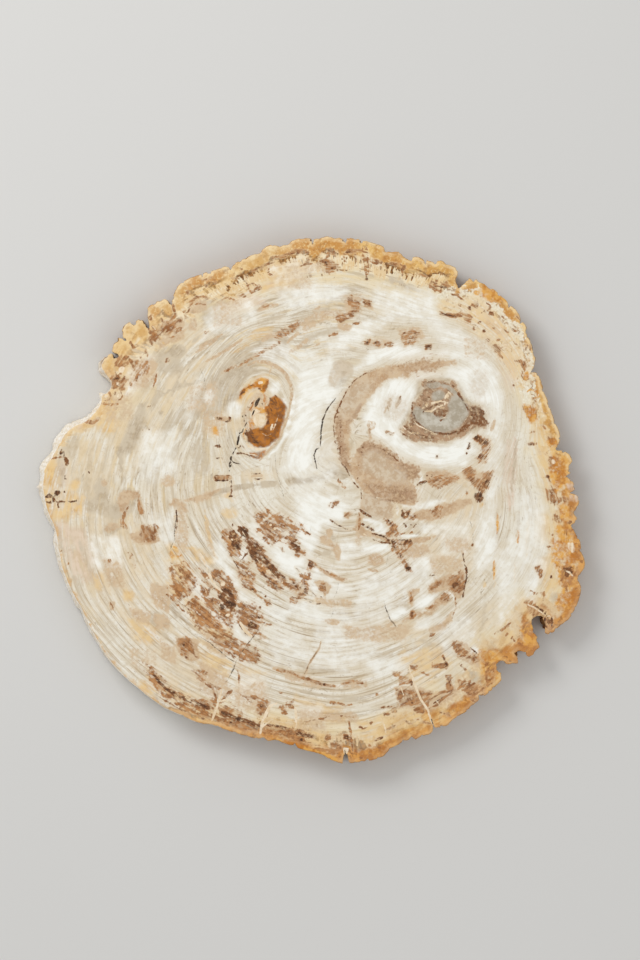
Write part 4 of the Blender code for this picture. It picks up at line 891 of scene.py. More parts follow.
# The upper left: frayed lobes of the rim, a small hole and striped brown stone
UPPER_LEFT = {
    "brown": [
        line(2.6, 128, 357, 131, 362, 134, 368), dots(1.1, 120, 374),
        patch(110, 378, 118, 377, 127, 380, 125, 384, 126, 391, 120, 392, 117, 388, 112, 386),
        line(1.5, 103, 396, 105, 392, 109, 392, 111, 396, 109, 400, 105, 400),
        line(1.5, 114, 396, 116, 392, 121, 392, 122, 396, 120, 400, 116, 400),
        line(1.7, 144, 345, 146, 351, 148, 358), line(1.5, 145, 350, 140, 358),
        dots(1.4, 137, 346, 131, 384), line(2.2, 148, 328, 152, 335, 156, 342),
        line(2.2, 152, 326, 156, 333, 160, 340), line(2, 149, 336, 153, 346),
        patch(152, 333, 158, 328, 163, 323, 170, 321, 181, 320, 176, 325, 174, 330, 168, 332, 163, 334,
            158, 338, 154, 341, 150, 342),
        line(2.6, 172, 304, 174, 310, 175, 316, 171, 321),
        line(3, 188, 313, 189, 306, 193, 300, 198, 297, 205, 297, 208, 300),
        dots(1.6, 184.5, 311.5, 187.5, 292.5, 206, 287),
        dots(1.1, 203, 279, 206, 278, 210, 276.5, 214, 282),
        haze(0.85, 1.2, patch(115, 358, 126, 357, 129, 364, 122, 367, 116, 364)),
        faint(0.85, line(1.6, 116, 372, 117, 377, 121, 379, 125, 376),
              line(3, 102, 403, 110, 404.5, 118, 404), patch(176, 329, 182, 328, 181, 333, 176, 333)),
        faint(0.7, dots(1.2, 206, 333, 209, 332), oval(167, 361, 3, 2.4),
              patch(148, 316, 152, 316, 152, 320, 147, 320), line(2, 161, 318, 164, 325),
              line(1.6, 168, 338, 176, 336)),
        faint(0.6, line(1.2, 157, 372, 155, 381, 153, 388), line(1.4, 194, 305, 200, 303, 206, 305),
              line(1.8, 130, 341, 134, 349)),
        faint(0.8, line(1.6, 110, 384, 104, 390)), haze(0.55, 1.3, line(5, 282, 336, 291, 329, 300, 322)),
        haze(0.5, 1.3, line(2.6, 238, 367, 258, 354, 280, 343), line(2, 222, 373, 236, 365)),
        haze(0.5, 1.2, line(2, 262, 307, 270, 305)),
    ],
    "core": [
        haze(0.9, 1.2, patch(327, 381, 334, 364.5, 341, 360.5, 352.5, 364.5, 352.5, 370.5, 343, 377, 333,
                 387, 329, 385)),
    ],
    "tan": [
        haze(0.8, 1.5, patch(150, 362, 157, 364, 156, 371, 149, 369),
             patch(162, 322, 182, 318, 186, 326, 178, 334, 164, 336)),
        haze(0.7, 1.4, patch(143, 378, 148, 379, 147, 385, 142, 383),
             patch(190, 310, 192, 303, 200, 300, 206, 302, 206, 310, 196, 314)),
        haze(0.7, 1.5, patch(158, 341, 166, 337, 178, 334, 186, 330, 184, 338, 170, 344, 160, 348),
             line(4, 196, 352, 206, 346, 216, 340)),
        haze(0.6, 1.5, oval(116, 382, 9, 6)), haze(0.6, 1.6, patch(191, 318, 196, 318, 196, 330, 190, 330)),
    ],
    "taupe": [
        haze(0.9, 1.5, patch(161, 350, 168, 346, 178, 344, 184, 346, 186, 353, 180, 358, 166, 358),
             line(8, 230, 363, 250, 351, 272, 341, 299, 325)),
        haze(0.8, 1.6, patch(205, 385, 222, 368, 240, 358, 262, 350, 258, 362, 248, 372, 238, 385, 232,
                 398, 225, 412, 206, 418, 208, 400)),
        haze(0.75, 3, line(11, 143, 410, 139, 424, 133, 438, 126, 454)),
        haze(0.5, 2.5, line(5, 160, 380, 157, 396, 152, 410)),
        haze(0.5, 2, line(3, 184, 366, 178, 380, 172, 396), oval(184, 420, 5, 16)),
        haze(0.4, 3, line(6, 190, 330, 196, 320, 206, 314)),
        haze(0.8, 1.5, line(4, 198, 346, 216, 340, 236, 333)),
        haze(0.7, 1.5, line(4, 171, 392, 190, 384, 215, 376), line(4, 176, 372, 196, 358, 214, 350),
             line(3, 150, 402, 168, 392, 186, 380)),
        haze(0.6, 1.5, line(3, 192, 345, 196, 339, 204, 333)),
        haze(0.5, 3, patch(190, 425, 204, 424, 208, 450, 204, 476, 194, 470, 190, 448)),
    ],
    "sand": [
        haze(0.8, 3, line(9, 168, 386, 180, 374, 196, 366, 212, 357)),
        haze(0.7, 4, patch(165, 378, 196, 380, 190, 402, 164, 404)),
        haze(0.3, 5, patch(118, 400, 160, 392, 160, 440, 130, 470, 110, 460)),
        haze(0.6, 4, patch(150, 342, 200, 322, 210, 336, 160, 362)),
        haze(0.2, 5, patch(80, 430, 120, 420, 118, 470, 84, 470)),
    ],
    "ochre": [
        soft(2, patch(100, 352, 112, 344, 124, 350, 130, 362, 122, 372, 108, 368),
             patch(104, 400, 120, 400, 118, 410, 102, 408)),
        haze(0.8, 2, patch(108, 408, 117, 410, 116, 422, 108, 422), oval(124, 344, 8, 6)),
        haze(0.7, 2, oval(107, 429.5, 7, 2.4),
             patch(128, 330, 142, 322, 152, 324, 160, 318, 166, 322, 152, 334, 140, 346, 130, 344),
             patch(178, 300, 188, 294, 200, 290, 214, 284, 232, 276, 232, 284, 210, 292, 190, 304, 180,
                 312)),
        line(2.4, 158, 336, 162, 341, 166, 347), haze(0.7, 1.5, oval(162, 319, 4, 2.4)),
        haze(0.5, 2, oval(150, 372, 6, 6)),
    ],
    "rust": [
        faint(0.7, line(1.6, 173, 305, 174.6, 312, 174, 318)),
        faint(0.6, oval(167, 327, 5, 3, 25), line(1.4, 104, 404, 116, 405)),
        faint(0.5, oval(157, 336, 3.4, 3), oval(121, 361, 4, 2.4)),
        haze(0.5, 1.3, line(2.4, 190, 308, 193, 301, 200, 298)),
    ],
    "pale": [
        oval(121, 370, 3.2, 3), faint(0.7, dots(1.8, 107, 396, 118, 396)),
        faint(0.8, line(1.4, 156, 330, 152, 326)), faint(0.5, oval(118, 384, 2.4, 2)),
    ],
    "white": [
        haze(0.7, 3, patch(130, 372, 148, 356, 150, 366, 138, 384, 126, 396)),
        haze(0.6, 4, patch(212, 310, 250, 300, 256, 316, 230, 330, 206, 330)),
        haze(0.6, 3, oval(196, 398, 5, 14, -20)),
    ],
    "umber": [
        # The first dot lies in the small hole: painted shade there
        dots(1, 114.7, 356.3, 149, 406.5), faint(0.7, line(1.3, 111, 379, 119, 378)),
        faint(0.6, dots(1, 117, 385, 123, 388, 168, 324, 158, 332, 163, 329)),
    ],
    # The dot darkens the small hole: painted shade there
    "crack": [faint(0.4, line(0.9, 199, 366, 204, 378, 206, 392)), dots(1.9, 114.7, 356.3)],
}

# The upper right and the right: curls and cells in the gold, short dashes and upright grain
RIGHT_SIDE = {
    "brown": [
        line(1.8, 487, 297, 493, 301), line(1.3, 481, 312, 487, 313),
        patch(489, 311, 493.5, 311, 493, 314, 489, 314), line(1.6, 501, 316, 505, 318),
        line(1.4, 510, 328, 514, 331, 518, 331), line(1.5, 499, 355, 503, 358),
        line(1.7, 521, 346, 524, 343, 527, 345, 526, 350, 530, 350, 530, 344),
        patch(520, 361, 525, 361, 526, 367, 524, 371, 521, 368),
        line(1.4, 522, 370, 522, 376, 526, 380, 530, 378), line(1.4, 530, 383, 534, 382),
        line(1.3, 486, 303, 489.6, 305, 490, 309, 486, 311, 482.6, 309), line(2.4, 530, 433, 535, 431.5),
        line(3, 528, 444.5, 537, 443), line(1.8, 544, 454.5, 549, 454.5),
        line(1.6, 549, 460, 553, 458, 556, 461, 553, 465, 559, 467), oval(547, 476, 2, 1.8),
        line(1.5, 549, 479, 551, 485, 552, 488), oval(554, 491, 2.4, 2),
        line(1.5, 548, 496, 551, 494, 554, 500, 557, 503), line(1.5, 554, 523, 557, 518),
        dots(1.6, 570, 522, 552, 577, 569, 600.5), line(1.6, 530, 590, 536, 594, 544, 592, 543, 600),
        patch(535, 566, 541, 565, 543, 569, 543, 575, 540, 577, 537, 573),
        line(1.8, 538, 607, 546, 612, 551, 616), line(2.2, 545, 625, 549, 629, 554, 626),
        line(1.5, 527, 602, 532, 612, 533, 618),
        faint(0.9, patch(492, 345, 496, 344, 500, 348, 499, 353, 494, 352), line(1.5, 514, 361, 520, 361),
              line(2.4, 556, 566, 560, 564, 566, 563)),
        faint(0.8, patch(465, 317, 472, 317, 471, 324, 465, 324),
              dots(1.3, 514, 386, 493.5, 328.5, 474, 329, 480, 323, 498, 339),
              dots(1.9, 488, 341, 485, 332, 469, 308),
              patch(524, 405, 528, 407, 532, 406, 536, 410, 533, 415, 537, 418, 532, 422, 527, 415, 523,
                  409), line(1.8, 549, 441, 553, 439, 556, 440), line(2, 547, 547, 551, 547),
              dots(1.1, 512, 639, 515, 642, 520, 633, 523, 636), line(2, 548, 533, 553, 536),
              line(1.6, 503, 329, 508, 333), line(1.4, 513, 341, 517, 345)),
        faint(0.7, line(1.2, 503, 343, 507, 343, 507, 347, 503, 347), line(1.6, 516, 316, 521, 320),
              line(2.2, 561, 586, 569, 586), line(1.5, 458, 296, 464, 300), line(1.4, 533, 397, 537, 402),
              line(1.6, 541, 425, 546, 429)),
        haze(0.9, 1.2, patch(554, 469, 559, 470, 559, 480, 555, 480)),
        haze(0.45, 1.6, patch(527, 602, 535, 605, 545, 612, 551, 618, 548, 624, 543, 616, 536, 614, 532,
                 616)),
        # Painted shade inside the deep pit, over the stone's own brown
        haze(0.8, 1.4, patch(562, 566, 570, 566, 572, 572, 566, 578, 562, 574)),
        faint(0.6, patch(471, 303, 479, 303, 478, 308, 473, 308)),
        haze(0.8, 1.2, patch(548, 437, 555, 438, 556, 444, 550, 446),
             patch(549, 458, 558, 458, 558, 466, 551, 467),
             patch(547, 490, 556, 492, 558, 502, 551, 503, 547, 498)),
        haze(0.7, 1.3, oval(563, 500, 4, 3), patch(553, 514, 562, 518, 560, 524, 554, 522)),
        haze(0.6, 1.4, patch(560, 533, 570, 534, 568, 541, 560, 541)),
    ],
    "gold": [
        faint(0.9, line(1.7, 527, 392, 530, 389, 537, 392, 538, 397, 533, 398)),
        haze(0.8, 1.3, oval(526.5, 376, 3, 4)),
        haze(0.85, 1.4, patch(524, 404, 535, 408, 536, 420, 530, 423, 526, 414)),
        haze(0.9, 1.5, oval(552, 441.5, 5, 4)),
        haze(0.8, 1.6, patch(484, 285, 504, 290, 506, 302, 492, 302, 482, 295)),
        haze(0.9, 1.6, patch(564, 553, 576, 553, 575, 565, 565, 565)),
        haze(0.8, 2, patch(557, 527, 569, 527, 569, 545, 560, 546),
             patch(552, 455, 566, 460, 566, 482, 556, 492, 550, 476),
             patch(562, 590, 574, 592, 572, 606, 560, 612, 556, 604)),
        haze(0.7, 1.5, oval(477, 293, 3, 2.4)),
        haze(0.8, 1.8, patch(521, 626, 536, 622, 538, 640, 526, 646)),
        haze(0.7, 2, patch(559, 563, 576, 566, 576, 586, 566, 590, 558, 584)),
        haze(0.7, 1.6, oval(564, 512, 5, 9)),
        haze(0.7, 1.2, line(2, 497, 513, 497.5, 524, 497, 535), line(2, 518, 530, 518.5, 538, 518, 544),
             line(2, 494, 560, 493.5, 570, 494, 579)),
    ],
    "ochre": [
        haze(0.85, 1.4, line(2.4, 495, 560, 494.6, 572, 495, 580)),
        haze(0.9, 1.3, line(3.6, 518, 532, 517, 543)),
        haze(0.85, 1.3, line(2.8, 497, 516, 498, 524, 498, 530)),
        haze(0.5, 1.5, line(2.4, 484, 581, 485, 588), line(2, 515, 560, 514, 600)),
        haze(0.5, 4, patch(450, 300, 480, 300, 500, 320, 520, 350, 526, 380, 510, 370, 490, 340, 460, 318)),
        haze(0.6, 3, patch(534, 400, 546, 430, 552, 470, 548, 500, 542, 470, 536, 440)),
        haze(0.6, 2.5, patch(540, 560, 552, 556, 556, 590, 544, 600)),
        haze(0.5, 2, line(2, 528, 520, 526, 560), line(2, 507, 610, 505, 640)),
        haze(0.8, 2, patch(522, 600, 540, 604, 548, 616, 530, 620, 524, 612)),
    ],
    "rust": [
        haze(0.7, 1.4, patch(563, 529, 567, 529, 567, 535, 563, 534)),
        # The deep pit's rust: partly its own colour, partly painted shade in the hollow
        haze(0.8, 1.6, patch(561, 567, 568, 565, 575, 568, 574, 580, 566, 586, 560, 580)),
        haze(0.7, 1.6, oval(527, 629, 3.6, 4)), faint(0.5, oval(529, 410, 3, 4)),
        faint(0.6, line(2, 566, 588, 570, 598)),
    ],
    "taupe": [
        haze(0.8, 1.3, line(4.6, 516, 440, 515, 452, 515, 463, 513, 478, 511, 494)),
        faint(0.8, line(1.4, 502.5, 408, 501.5, 416), line(1.2, 511, 508, 510, 520, 512, 525, 509, 533)),
        dots(1.6, 532, 472), faint(0.7, line(1.5, 524, 415, 525, 425)),
        haze(0.5, 1.4, line(2.6, 510, 390, 512, 398)),
        haze(0.6, 1.5, patch(549, 594, 558, 592, 558, 600, 550, 600)),
        haze(0.4, 2.5, line(4, 520, 480, 519, 510, 517, 540)),
        haze(0.35, 2.5, line(4, 505, 430, 504, 460, 502, 490), line(4, 486, 590, 484, 620, 478, 640)),
        haze(0.4, 2, line(3, 528, 450, 530, 480, 529, 520)),
        faint(0.6, line(1, 474, 520, 473, 532, 474, 545)),
    ],
    "pink": [
        haze(0.5, 1.5, patch(567, 484, 574, 484, 574, 490, 568, 489)),
        haze(0.7, 1.5, patch(569, 495, 577, 495, 577, 501, 570, 501)),
        haze(0.5, 3, patch(500, 352, 512, 360, 514, 390, 506, 380),
             patch(488, 316, 506, 336, 498, 336, 484, 322)),
        haze(0.5, 2.5, line(5, 508, 440, 506, 470, 505, 500)),
        haze(0.9, 1.3, line(6.5, 515, 438, 514.5, 456, 513, 474, 512, 492, 510, 512)),
    ],
    "pale": [
        # The first line is a painted highlight inside the deep pit
        line(1.6, 566, 571, 570, 573, 573, 576), line(1.4, 547, 616.6, 549.6, 615.6, 551, 617),
        faint(0.7, line(1.8, 528, 604, 538, 610, 546, 616)),
        haze(0.7, 1.5, patch(567, 543, 572, 542, 575, 549, 573, 553, 568, 550)),
        faint(0.6, dots(2.2, 486, 307, 478, 315, 505, 345, 524, 347, 553, 462, 474, 312, 496, 322)),
        faint(0.5, dots(1.8, 500, 330, 508, 340, 516, 354, 530, 372, 541, 410)),
    ],
    "white": [
        haze(0.6, 4, patch(484, 410, 500, 414, 498, 480, 490, 510, 486, 470, 492, 440)),
        haze(0.5, 4, patch(520, 500, 540, 500, 544, 560, 530, 600, 520, 560),
             patch(500, 560, 514, 540, 514, 600, 500, 620)),
    ],
    "umber": [
        # Painted shade: the first line darkens the deep pit's upper-left edge, and the next two lines and
        # the oval darken the shallow pit
        line(1.6, 573, 567, 567, 568.5, 564, 572), line(1.6, 545.4, 618, 544.6, 623, 546, 627),
        line(1.6, 551.6, 617, 552.4, 622, 551, 626), oval(548.8, 622, 1.5, 3.2, -12),
        dots(1.1, 485, 332, 552, 577, 547, 476),
        # Painted shade inside the deep pit
        haze(0.8, 1.3, patch(565, 569, 570, 568, 573, 572, 569, 577, 565, 575)),
        faint(0.7, line(1.2, 529, 444.6, 536, 443.2), line(1, 489.6, 312, 493, 313)),
        faint(0.8, dots(1.2, 469, 307.6), line(1.3, 536, 606, 545, 613, 549, 619)),
        faint(0.6, dots(1, 538, 570, 541, 574, 523, 365)),
    ],
}

# The lower left: ochre and tan stone, a forked pale vein and the dark blotches inside the rim
LOWER_LEFT = {
    "ochre": [
        haze(0.8, 2, patch(124, 591, 133, 591, 133, 600, 125, 600),
             patch(169, 545, 182, 546, 184, 558, 172, 560),
             patch(140, 681, 150, 682, 158, 690, 150, 694, 141, 688)),
        haze(0.5, 3, patch(94, 574, 101, 576, 102, 591, 95, 588)),
        haze(0.55, 3, patch(131, 620, 145, 622, 155, 630, 154, 642, 140, 640)),
        haze(0.8, 1.5, patch(194, 712, 204, 712, 206, 720, 196, 720)),
        haze(0.7, 2, patch(149, 671, 160, 674, 160, 684, 150, 680)),
        haze(0.6, 3, patch(166, 566, 190, 568, 192, 592, 172, 594),
             patch(160, 686, 190, 698, 220, 712, 210, 722, 180, 708)),
        haze(0.5, 4, patch(190, 640, 214, 650, 236, 668, 226, 676, 204, 664),
             patch(240, 664, 262, 676, 258, 696, 240, 690)),
    ],
    "tan": [
        haze(0.75, 1.6, patch(151, 584, 168, 586, 170, 604, 168, 612, 156, 606, 151, 596)),
        haze(0.7, 2, patch(131, 609, 149, 612, 150, 624, 136, 622)),
        haze(0.75, 1.8, patch(153, 614, 168, 616, 170, 628, 156, 628)),
        patch(176, 638, 188, 636, 199, 642, 199, 660, 188, 662, 178, 652),
        faint(0.8, patch(109, 602, 114, 601, 114, 610, 110, 610)),
        haze(0.6, 2, patch(204, 634, 220, 640, 232, 654, 224, 658, 208, 648),
             patch(160, 640, 174, 648, 176, 664, 162, 658)),
        haze(0.6, 3, patch(104, 560, 120, 566, 124, 586, 110, 584)),
        haze(0.7, 1.6, patch(200, 662, 214, 668, 222, 680, 212, 684, 202, 676)),
    ],
    "brown": [
        haze(0.62, 2.2, line(8, 150, 672, 160, 684, 171, 694, 184, 701, 198, 706, 212, 712, ends=0.8)),
        haze(0.7, 2, line(7, 222, 714, 236, 720, 250, 724, 262, 729, ends=0.8)),
        haze(0.6, 1.4, line(1.6, 158, 694, 164, 700, 172, 704, 180, 709, 190, 713)),
        soft(1.4, patch(197, 702, 206, 700, 214, 702, 215, 709, 206, 711, 198, 709)),
        line(2.8, 205, 684, 213, 689, 216, 697, 215, 703), line(3.4, 221, 703, 226, 696, 232, 690),
        line(1.2, 128, 553, 132, 553, 133, 557, 129, 558),
        haze(0.6, 2, patch(219, 708, 230, 707, 240, 712, 240, 724, 230, 722, 221, 716)),
        faint(0.8, patch(178, 640, 186, 638, 194, 646, 196, 658, 188, 656, 182, 650),
              line(1.2, 131, 564, 135, 565, 135, 569)),
        faint(0.9, line(1.5, 110, 602, 113, 609)),
        faint(0.7, line(2.2, 166, 594, 176, 602, 184, 612), line(2, 140, 660, 150, 668),
              line(1.6, 214, 636, 222, 644, 230, 650)),
        haze(0.7, 1.2, patch(247, 647, 258, 650, 260, 662, 250, 660)),
        faint(0.6, dots(1.2, 110, 561, 61, 550, 69, 563, 130, 555, 133, 566)),
        haze(0.6, 1.5, patch(192, 668, 204, 672, 206, 682, 196, 680)),
    ],
    "taupe": [
        haze(0.5, 2, line(2.4, 108, 620, 124, 632, 140, 643), line(3, 180, 620, 196, 636, 214, 650)),
        haze(0.4, 2, line(2, 112, 612, 130, 626, 146, 638)),
        haze(0.5, 3, line(5, 96, 540, 104, 566, 118, 592)),
        haze(0.4, 3, line(5, 80, 540, 90, 570, 108, 604)), haze(0.6, 1.6, oval(218, 668, 6, 4, -30)),
        haze(0.5, 2.5, line(5, 160, 632, 176, 644, 196, 664)),
        haze(0.45, 2.5, line(4, 120, 600, 134, 620, 156, 644)),
    ],
    "umber": [
        haze(0.6, 1.5, line(3, 154, 676, 166, 689, 180, 697, 196, 703, 210, 709, ends=0.6)),
        line(1.8, 157, 678, 160, 684), dots(1.4, 202, 719, 231, 722),
        haze(0.65, 1.5, line(3.4, 222, 712, 236, 718, 250, 722, 262, 727, ends=0.6)),
        faint(0.8, line(1.6, 161, 686, 168, 690, 176, 697), line(2, 222, 702, 228, 694)),
        faint(0.7, line(1.6, 214, 690, 216, 697), dots(1.2, 183, 645, 190, 652, 186, 658)),
    ],
    "pale": [
        line(2.2, 218, 703, 220, 696, 222, 689), line(2, 218, 703, 225, 700, 231, 697),
        line(2.6, 218, 703, 215, 712, 212, 721), faint(0.6, line(1.2, 186, 697, 190, 690)),
    ],
    "crack": [
        faint(0.6, line(1.2, 197, 634, 204, 639, 212, 645, 225, 655, 236, 663),
              line(1.1, 236, 664, 233, 670, 229, 677, 224, 685)),
        faint(0.5, line(1.1, 170, 696, 160, 690), line(1, 218, 700, 217, 690, 214, 684)),
    ],
    "sand": [
        haze(0.6, 6, patch(70, 520, 130, 520, 160, 560, 160, 600, 130, 620, 100, 600, 76, 560)),
        haze(0.5, 6, patch(130, 620, 180, 630, 210, 680, 190, 696, 150, 660)),
        haze(0.6, 5, patch(40, 450, 100, 440, 110, 520, 60, 520)),
    ],
    "pink": [haze(0.5, 4, patch(60, 530, 84, 530, 96, 580, 76, 580)), haze(0.5, 2, oval(143, 690, 4, 3))],
    "rust": [
        haze(0.6, 1.3, oval(155, 677, 3.4, 3)), faint(0.5, oval(186, 650, 5, 5)),
        haze(0.6, 2, line(5, 150, 678, 164, 694, 182, 706, 204, 714, 226, 722, 250, 730)),
    ],
}

# The bottom: blotches and pale veins inside the rim, and the outlined network left of the break
BOTTOM = {
    "brown": [
        faint(0.8, line(1.6, 238, 671, 239, 679, 239, 686), patch(330, 743, 340, 743, 340, 750, 331, 750),
              patch(399, 678, 408, 677, 408, 684, 400, 684), patch(431, 663, 447, 664, 447, 669, 432, 668),
              patch(409, 665, 418, 665, 417, 669, 410, 669),
              patch(457, 680, 470, 682, 483, 688, 482, 697, 468, 694, 458, 690),
              line(2, 246, 699, 252, 702), line(1.6, 337, 702, 345, 706, 352, 705),
              line(1.8, 440, 712, 451, 716)),
        faint(0.5, line(2.4, 276, 670, 285, 671, 292, 673, 300, 677)),
        haze(0.65, 1.5, line(3, 300, 677, 310, 680, 320, 684, 335, 686)),
        haze(0.6, 1.5, line(2.4, 343, 684, 352, 681, 363, 683)),
        dots(1.4, 281, 693, 360, 727, 365, 728, 371, 723, 384, 715, 389, 715, 395, 716, 378, 694, 397, 689,
            370, 746, 360, 750),
        patch(287, 701, 294, 700, 294, 708, 288, 709), line(1.8, 279, 708, 282, 705, 285, 705.6, 288, 704),
        patch(326, 735, 330, 734, 330, 740, 326, 740), patch(343, 734, 348, 734, 348, 740, 343, 740),
        line(1.5, 349, 722, 351, 736, 353, 752), line(2.8, 375, 741, 383, 737),
        patch(391, 706, 398, 706, 398, 712, 394, 714, 391, 711), line(1.5, 380, 707, 391, 707),
        patch(393, 672, 400, 672, 400, 676, 393, 676), patch(409, 681, 413, 680, 412, 687),
        line(2.2, 428, 709, 437, 705, 445, 697, 454, 693), line(2.2, 428, 700, 440, 693, 453, 689),
        patch(446, 676, 452, 674, 453, 690, 447, 692), line(2, 442, 655, 446, 662, 449, 670),
        patch(414, 707, 425, 708, 424, 714, 415, 713), line(1.5, 416, 719, 424, 722, 431, 724),
        patch(453, 642, 460, 644, 468, 652, 480, 660, 474, 662, 462, 656, 454, 650),
        faint(0.9, patch(280, 706, 287, 706, 287, 714, 281, 714)),
        soft(1.4, patch(257, 701, 267, 701, 267, 712, 258, 713),
             line(6, 264, 726, 280, 729, 296, 733, 314, 736, ends=0.7)),
        faint(0.75, patch(397, 692, 412, 690, 430, 694, 428, 708, 414, 704, 400, 706)),
        faint(0.7, line(1.6, 304, 722, 316, 720, 330, 716), line(1.5, 340, 716, 354, 717),
              line(1.5, 404, 720, 412, 724), line(1.6, 386, 730, 396, 726), line(1.8, 459, 664, 466, 670),
              line(1.4, 420, 672, 430, 676)),
        faint(0.6, patch(330, 700, 335, 700, 335, 704, 330, 703), line(1.4, 470, 700, 478, 703)),
    ],
    "umber": [
        haze(0.8, 1.4, line(3.4, 296, 733, 306, 735, 314, 736)),
        haze(0.7, 1.5, line(2.6, 264, 724, 276, 726, 288, 729)),
        faint(0.8, patch(344, 735, 347.6, 735, 347.6, 739, 344, 739), line(1.3, 471, 648, 480, 656)),
        line(2, 376, 740.6, 383, 737), patch(409.6, 682, 412.6, 681, 411.8, 686),
        dots(1.2, 345, 752, 302, 740, 308, 740),
        faint(0.6, dots(1.1, 323, 684.6, 291, 704, 262, 706),
              dots(1, 403, 694, 408, 698, 416, 696, 421, 701, 412, 702)),
        faint(0.7, line(1.4, 433, 704, 444, 696), line(1.2, 447, 677, 451, 686),
              line(1.2, 443, 657, 448, 667)),
    ],
    "rust": [
        soft(2, line(7, 260, 728, 276, 732, 290, 736, 304, 741, ends=0.6)),
        faint(0.7, line(1, 350, 724, 351.6, 738, 353, 750), patch(485, 662, 495, 662, 494, 684, 486, 685),
              patch(392, 707, 397, 707, 396, 712)),
        haze(0.5, 2, line(5, 300, 742, 318, 748, 334, 754)),
        faint(0.8, patch(415, 708, 424, 709, 423, 713, 416, 712)),
        faint(0.6, oval(284, 710, 3, 3), line(2, 455, 690, 462, 686)),
    ],
    "gold": [
        soft(2, line(8, 286, 742, 300, 747, 316, 752, 334, 759, ends=0.6)),
        haze(0.7, 2, line(5, 262, 734, 276, 738, 290, 742),
             patch(480, 652, 490, 650, 498, 658, 500, 672, 492, 684, 484, 680)),
    ],
    "ochre": [
        soft(2, patch(480, 648, 492, 652, 502, 660, 503, 676, 494, 690, 482, 686)),
        haze(0.7, 3, patch(260, 718, 300, 724, 330, 736, 320, 746, 280, 736)),
        haze(0.6, 3, patch(360, 724, 400, 712, 440, 706, 444, 720, 400, 736, 366, 744)),
        haze(0.6, 2, oval(446, 713, 7, 3)), haze(0.5, 3, patch(296, 700, 340, 706, 344, 720, 300, 722)),
        haze(0.5, 4, patch(400, 656, 440, 650, 448, 660, 430, 680, 404, 680)),
    ],
    "taupe": [
        haze(0.7, 1.5, patch(468, 671, 486, 673, 488, 686, 470, 684)),
        haze(0.8, 1.2, patch(265, 718, 271, 718, 271, 724, 266, 723)),
        haze(0.6, 1.6, patch(247, 646, 260, 650, 258, 662, 248, 660)),
        haze(0.5, 2.5, line(5, 270, 652, 310, 668, 350, 672), line(5, 350, 655, 390, 656, 430, 646),
             line(5, 300, 690, 330, 698, 370, 700), line(4, 420, 640, 450, 652, 474, 664)),
        haze(0.5, 2, line(4, 366, 712, 400, 704, 420, 696)),
    ],
    "tan": [
        soft(1.5, line(4, 272, 668, 285, 671, 300, 677, 318, 684, 338, 687),
             line(3, 341, 685, 352, 682, 366, 683)),
        soft(1.4, line(2.2, 321, 641, 318.4, 650, 311, 660, 304, 674)),
        haze(0.6, 2, patch(276, 668, 300, 674, 320, 682, 318, 688, 290, 680),
             patch(342, 680, 366, 680, 366, 688, 344, 688), patch(320, 712, 356, 714, 356, 722, 322, 722)),
        haze(0.7, 1.5, patch(256, 698, 270, 700, 268, 716, 256, 714),
             patch(395, 688, 414, 686, 432, 692, 430, 710, 412, 708, 398, 708),
             patch(426, 700, 454, 686, 458, 694, 440, 706, 430, 712)),
        haze(0.7, 1.4, patch(452, 640, 466, 644, 484, 660, 476, 666, 458, 658)),
    ],
    "white": [
        soft(1.3, patch(470, 648, 476, 646, 481, 652, 477, 656, 471, 654)), dots(1.8, 464, 657, 470, 661),
        haze(0.6, 3, patch(300, 650, 340, 656, 344, 668, 310, 664),
             patch(370, 664, 400, 660, 404, 668, 380, 674)),
        haze(0.5, 4, patch(240, 676, 262, 680, 262, 696, 244, 694)),
        haze(0.5, 3, patch(300, 706, 320, 708, 318, 716, 302, 714)),
    ],
    "pale": [
        line(2.6, 295, 706, 296, 717, 296, 728), line(3, 277, 703, 270, 706, 267, 712, 262, 724, 260, 735),
        line(1.8, 271, 720, 266, 724, 262, 728),
        line(2.4, 409, 665, 413, 680, 417, 691, 421, 700, 428, 710, 430, 717, 434, 727),
        haze(0.9, 1.2, patch(342, 748, 348, 748, 347, 754, 343, 754)),
        faint(0.7, line(1.4, 380, 716, 384, 724, 386, 734), line(1.4, 436, 700, 440, 706),
              line(1.4, 400, 686, 404, 696)),
    ],
    "crack": [
        faint(0.5, line(0.9, 386, 611, 390, 620, 396, 627)), line(1.2, 345, 749, 345.6, 758),
        faint(0.4, line(0.9, 434, 727, 436, 732), line(0.9, 421, 700, 424, 706)),
    ],
}

